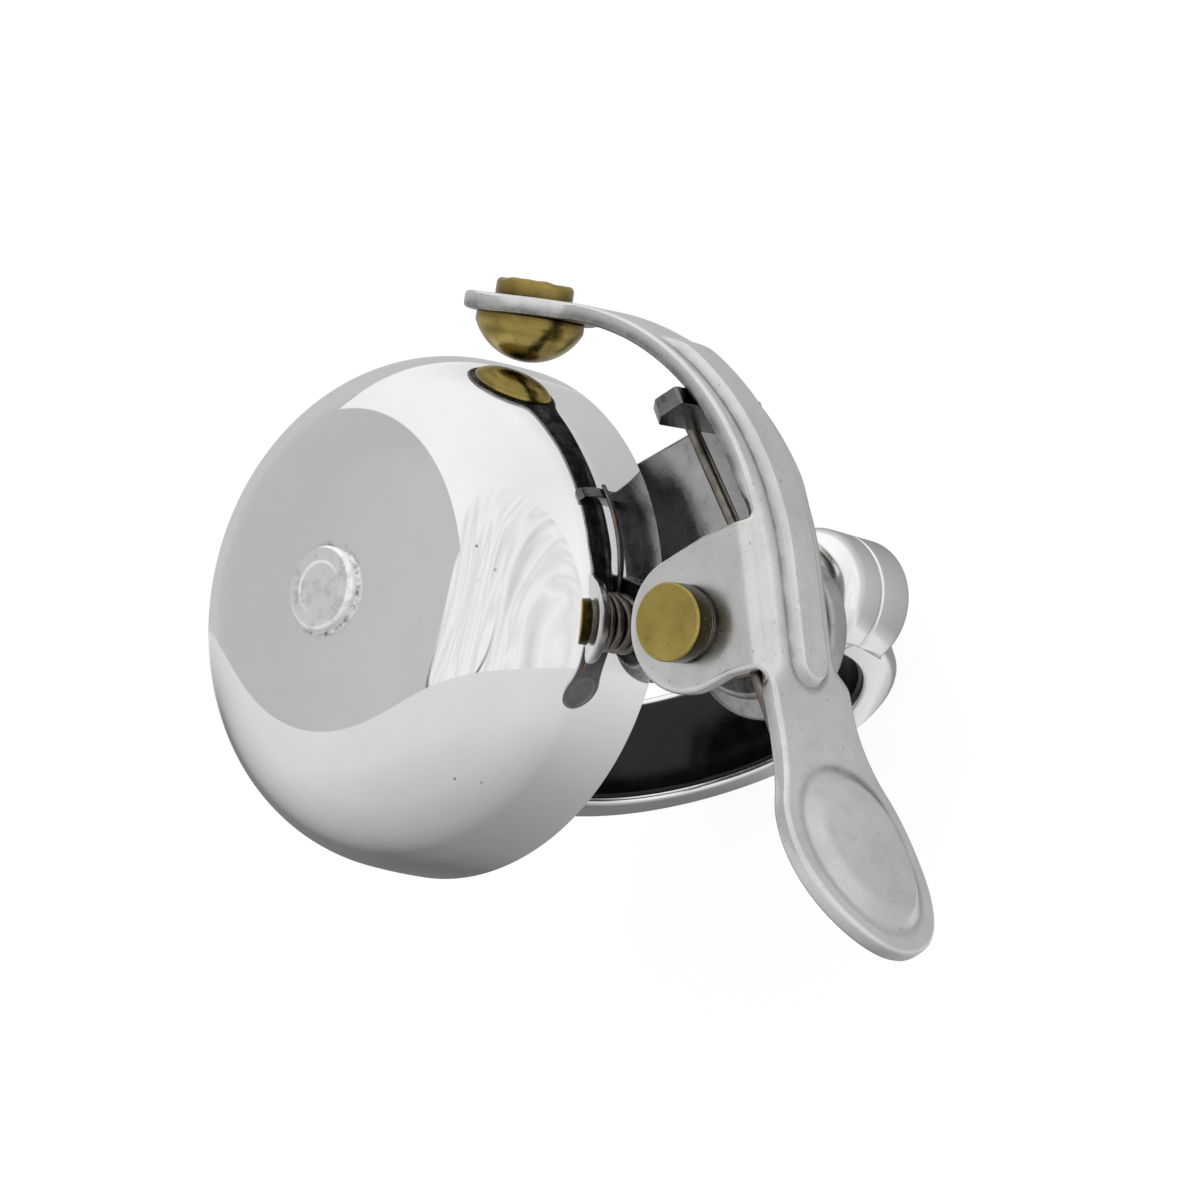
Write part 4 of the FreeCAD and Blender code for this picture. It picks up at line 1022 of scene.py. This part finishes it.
# painted shade and painted dark reflections on the collar's wall, under the tab, in a band round the ball
# and where it strikes
down = (under - hammer_level) / HAMMER_HEIGHT
on_collar = 0.35 + 0.5 * (1 - smooth_step(hammer_level, 0.0, 1.2))
on_ball = 0.85 * (1 - smooth_step(down, 0.02, 0.30)) + 0.75 * smooth_step(down, 0.72, 0.98)
shade_and_reflection_bands = np.where(hammer_level > 0, on_collar, on_ball) + 0.35 * bell_curve(down, 0.42, 0.06)
hammer = surface("brass_hammer", from_lever(hammer_grid), brass, around=True,
                 shade_depths=np.tile(shade_and_reflection_bands, (len(turns), 1)))
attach(hammer, "lever")
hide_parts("hammer")

# ---- Floor, light and camera ----
# A pale floor under the clamp ring, soft studio light from the sky and one panel, and a long
# lens that looks down on the bell from the rider's side.
FLOOR_R = 3000.0
BELL_MIDDLE = (0, 0, 0.035)
SCREEN_BEARING = 26.7
SCREEN_WAIST = 0.087
CLOTH_WAY, CLOTH_EDGE = (-0.433, -0.51, 0.743), 0.564
FOLD_WAY = (-0.604, -0.768, 0.216)
SCREEN_WAY, SCREEN_EDGE = (-0.09, -0.071, 0.993), 0.925
TABLE_WAY, TABLE_EDGE = (-0.8, 0.586, -0.124), 0.149


def along(look, way, fixed):
    """How far a direction goes along a fixed one: their dot product."""
    return look.add("VectorMath", {0: way, 1: fixed}, output="Value", operation="DOT_PRODUCT")


def past_edge(look, value, edge, softness):
    """0 before an edge and 1 after it, by a straight line of the given width between them."""
    line = {0: value, 1: 1 / softness, 2: 0.5 - edge / softness}
    return look.add("Math", line, operation="MULTIPLY_ADD", use_clamp=True)


def studio_tone(look, way):
    """Grey of the studio in a direction from the bell. White card all round, darker low down
    on the rider's side, a grey screen between a slanted edge and a level one, folds of white
    cloth overhead inside a cone, a dark slit under the screen's level edge, and a table top
    past a straight edge, which darkens away from that edge, and towards the ground with a painted shadow
    of the bell."""
    way = look.add("VectorMath", {0: way}, operation="NORMALIZE")
    x, y, height = look.add("SeparateXYZ", {0: way}).node.outputs
    bearing = maths(look, "ARCTAN2", y, x)
    share = maths(look, "MULTIPLY_ADD", bearing, 0.5 / math.pi, 0.5)
    up_share = maths(look, "MULTIPLY_ADD", height, 0.5, 0.5)

    def over_bearing(*stops):
        """Ramp round the horizon, with its stops in degrees."""
        return ramp(look, share, *[(degrees / 360 + 0.5, level) for degrees, level in stops])

    def both(first, second):
        return maths(look, "MULTIPLY", first, second)

    card = over_bearing((-180, 0.96), (-150, 0.98), (-118, 1.0), (-96, 1.05), (-60, 0.93), (-30, 1.02),
                        (0, 1.04), (60, 0.95), (180, 0.96))
    table_way = along(look, way, TABLE_WAY)
    fold_place = look.add("CombineXYZ", {"X": along(look, way, FOLD_WAY), "Y": table_way, "Z": height})
    folds = noise(look, 2.0, 2, 0.45, (3.8, 0.45, 0.45), fold_place)
    cloth = ramp(look, folds, (0.30, 0.72), (0.43, 0.99), (0.50, 0.84), (0.56, 1.0), (0.68, 0.88))
    in_cone = past_edge(look, along(look, way, CLOTH_WAY), CLOTH_EDGE, 0.02)
    off_waist = maths(look, "ABSOLUTE", maths(look, "SUBTRACT", height, SCREEN_WAIST))
    slanted = maths(look, "MULTIPLY_ADD", off_waist, 0.1, share)
    side_edge = past_edge(look, slanted, SCREEN_BEARING / 360 + 0.5, 0.002)
    screen_way = along(look, way, SCREEN_WAY)
    on_screen = maths(look, "SUBTRACT", side_edge, past_edge(look, screen_way, SCREEN_EDGE, 0.008))
    screen = ramp(look, up_share, (0.2, 0.56), (0.45, 0.62), (0.53, 0.57), (0.8, 0.55), (0.9, 0.6))
    table = ramp(look, table_way, (0.15, 0.80), (0.5, 0.76), (0.8, 0.62), (1.0, 0.53))
    # painted shadow of the bell on the table, low down on some bearings
    painted_bell_shadow = both(over_bearing((-180, 0.5), (-158, 0.3), (-135, 0.0), (60, 0.0), (70, 1.0),
                                    (118, 1.0), (140, 0.72), (180, 0.5)),
                       ramp(look, up_share, (0.2, 0.76), (0.33, 0.70), (0.39, 0.46), (0.47, 0.25),
                            (0.56, 0.12), (0.68, 0.0)))
    below_card = both(over_bearing((-150, 0.0), (-120, 1.0), (-5, 1.0), (12, 0.0)),
                      ramp(look, up_share, (0.03, 0.72), (0.09, 0.55), (0.14, 0.43), (0.24, 0.38),
                           (0.38, 0.15), (0.48, 0.0)))
    from_edge = maths(look, "MULTIPLY_ADD", screen_way, 10.0, -8.8)
    slit = both(past_edge(look, table_way, 0.0, 0.3),
                ramp(look, from_edge, (0.42, 0.0), (0.50, 0.95), (0.60, 0.0)))
    tone = blend_tone(look, in_cone, card, cloth)
    tone = blend_tone(look, below_card, tone, grey(0.0))
    tone = blend_tone(look, on_screen, tone, screen)
    tone = blend_tone(look, slit, tone, grey(0.02))
    table = blend_tone(look, painted_bell_shadow, table, grey(0.0))
    return blend_tone(look, past_edge(look, table_way, TABLE_EDGE, 0.008), tone, table)


# the floor is white for the camera, shows the studio to mirrors, and is plain paint otherwise
floor_white = Look(bpy.data.materials.new("pale_floor"))
floor_white.set(Base_Color=mottled(floor_white, 3, 3, 0.5, (0.3, 0.84), (0.7, 0.86)), Roughness=0.9)
from_bell = floor_white.add("VectorMath", {0: floor_white.place, 1: BELL_MIDDLE}, operation="SUBTRACT")
mirrored = floor_white.add("Emission", {"Color": studio_tone(floor_white, from_bell)})
glow = floor_white.add("Emission", {"Strength": 1.1})
rays = floor_white.add("LightPath", {}).node.outputs
seen = maths(floor_white, "MULTIPLY", rays["Is Camera Ray"], 0.8)
bounced = maths(floor_white, "MAXIMUM", rays["Is Glossy Ray"], rays["Is Transmission Ray"])
lit = floor_white.add("MixShader", {"Fac": seen, 1: floor_white.shader.outputs["BSDF"], 2: glow})
floor_look = floor_white.add("MixShader", {"Fac": bounced, 1: lit, 2: mirrored})
floor_white.feed(floor_white.nodes["Material Output"].inputs["Surface"], floor_look)
floor_rings = np.linspace(0, 1, 24) ** 2 * FLOOR_R
floor_line = np.column_stack([floor_rings, np.full(24, cad_box[0][2] / MM)])
floor = surface("studio_floor", turned(floor_line, full_turn(64)), floor_white, around=True)
if floor.data.polygons[0].normal.z < 0:
    floor.data.flip_normals()

sky = Look(bpy.data.worlds.new("studio_sky"), "Generated")
bpy.context.scene.world = sky.material
sky_rays = sky.add("LightPath", {}, output="Is Camera Ray")
sky_tone = blend_tone(sky, sky_rays, studio_tone(sky, sky.place), grey(1.0))
sky.feed(sky.nodes["Background"].inputs["Color"], sky_tone)
sky.nodes["Background"].inputs["Strength"].default_value = 1.0


def stand(data, right, back, place):
    """Lamp or camera at a place, looking away from a direction; up is square to it and to
    the right."""
    right = unit(right)
    up = unit(np.cross(back, right))
    matrix = np.eye(4)
    matrix[:3, :3] = np.column_stack([right, up, np.cross(right, up)])
    matrix[:3, 3] = place
    holder = bpy.data.objects.new(data.name, data)
    holder.matrix_world = Matrix([list(row) for row in matrix])
    bpy.context.scene.collection.objects.link(holder)
    return holder


KEY_PLACE = (0.5, -0.55, 0.75)
KEY_TARGET = (0, 0, 0.03)
lamp = bpy.data.lights.new("key_panel", "AREA")
lamp.shape = "RECTANGLE"
lamp.size, lamp.size_y, lamp.energy = 0.6, 0.6, 1.2
back = np.subtract(KEY_PLACE, KEY_TARGET)
stand(lamp, np.cross((0, 0, 1.0), back), back, KEY_PLACE).visible_glossy = False

CAMERA_PLACE = (-119.11, -166.36, 237.03)
CAMERA_BACK = (-0.406, -0.5379, 0.7388)
CAMERA_RIGHT = (-0.2448, -0.7149, -0.655)
lens = bpy.data.cameras.new("product_camera")
lens.lens = 102.0
lens.sensor_width = 36.0
lens.clip_start = 0.01
lens.clip_end = 20.0
camera = stand(lens, CAMERA_RIGHT, CAMERA_BACK, np.multiply(CAMERA_PLACE, MM))
bpy.context.scene.camera = camera
bpy.context.scene.view_settings.view_transform = "Standard"
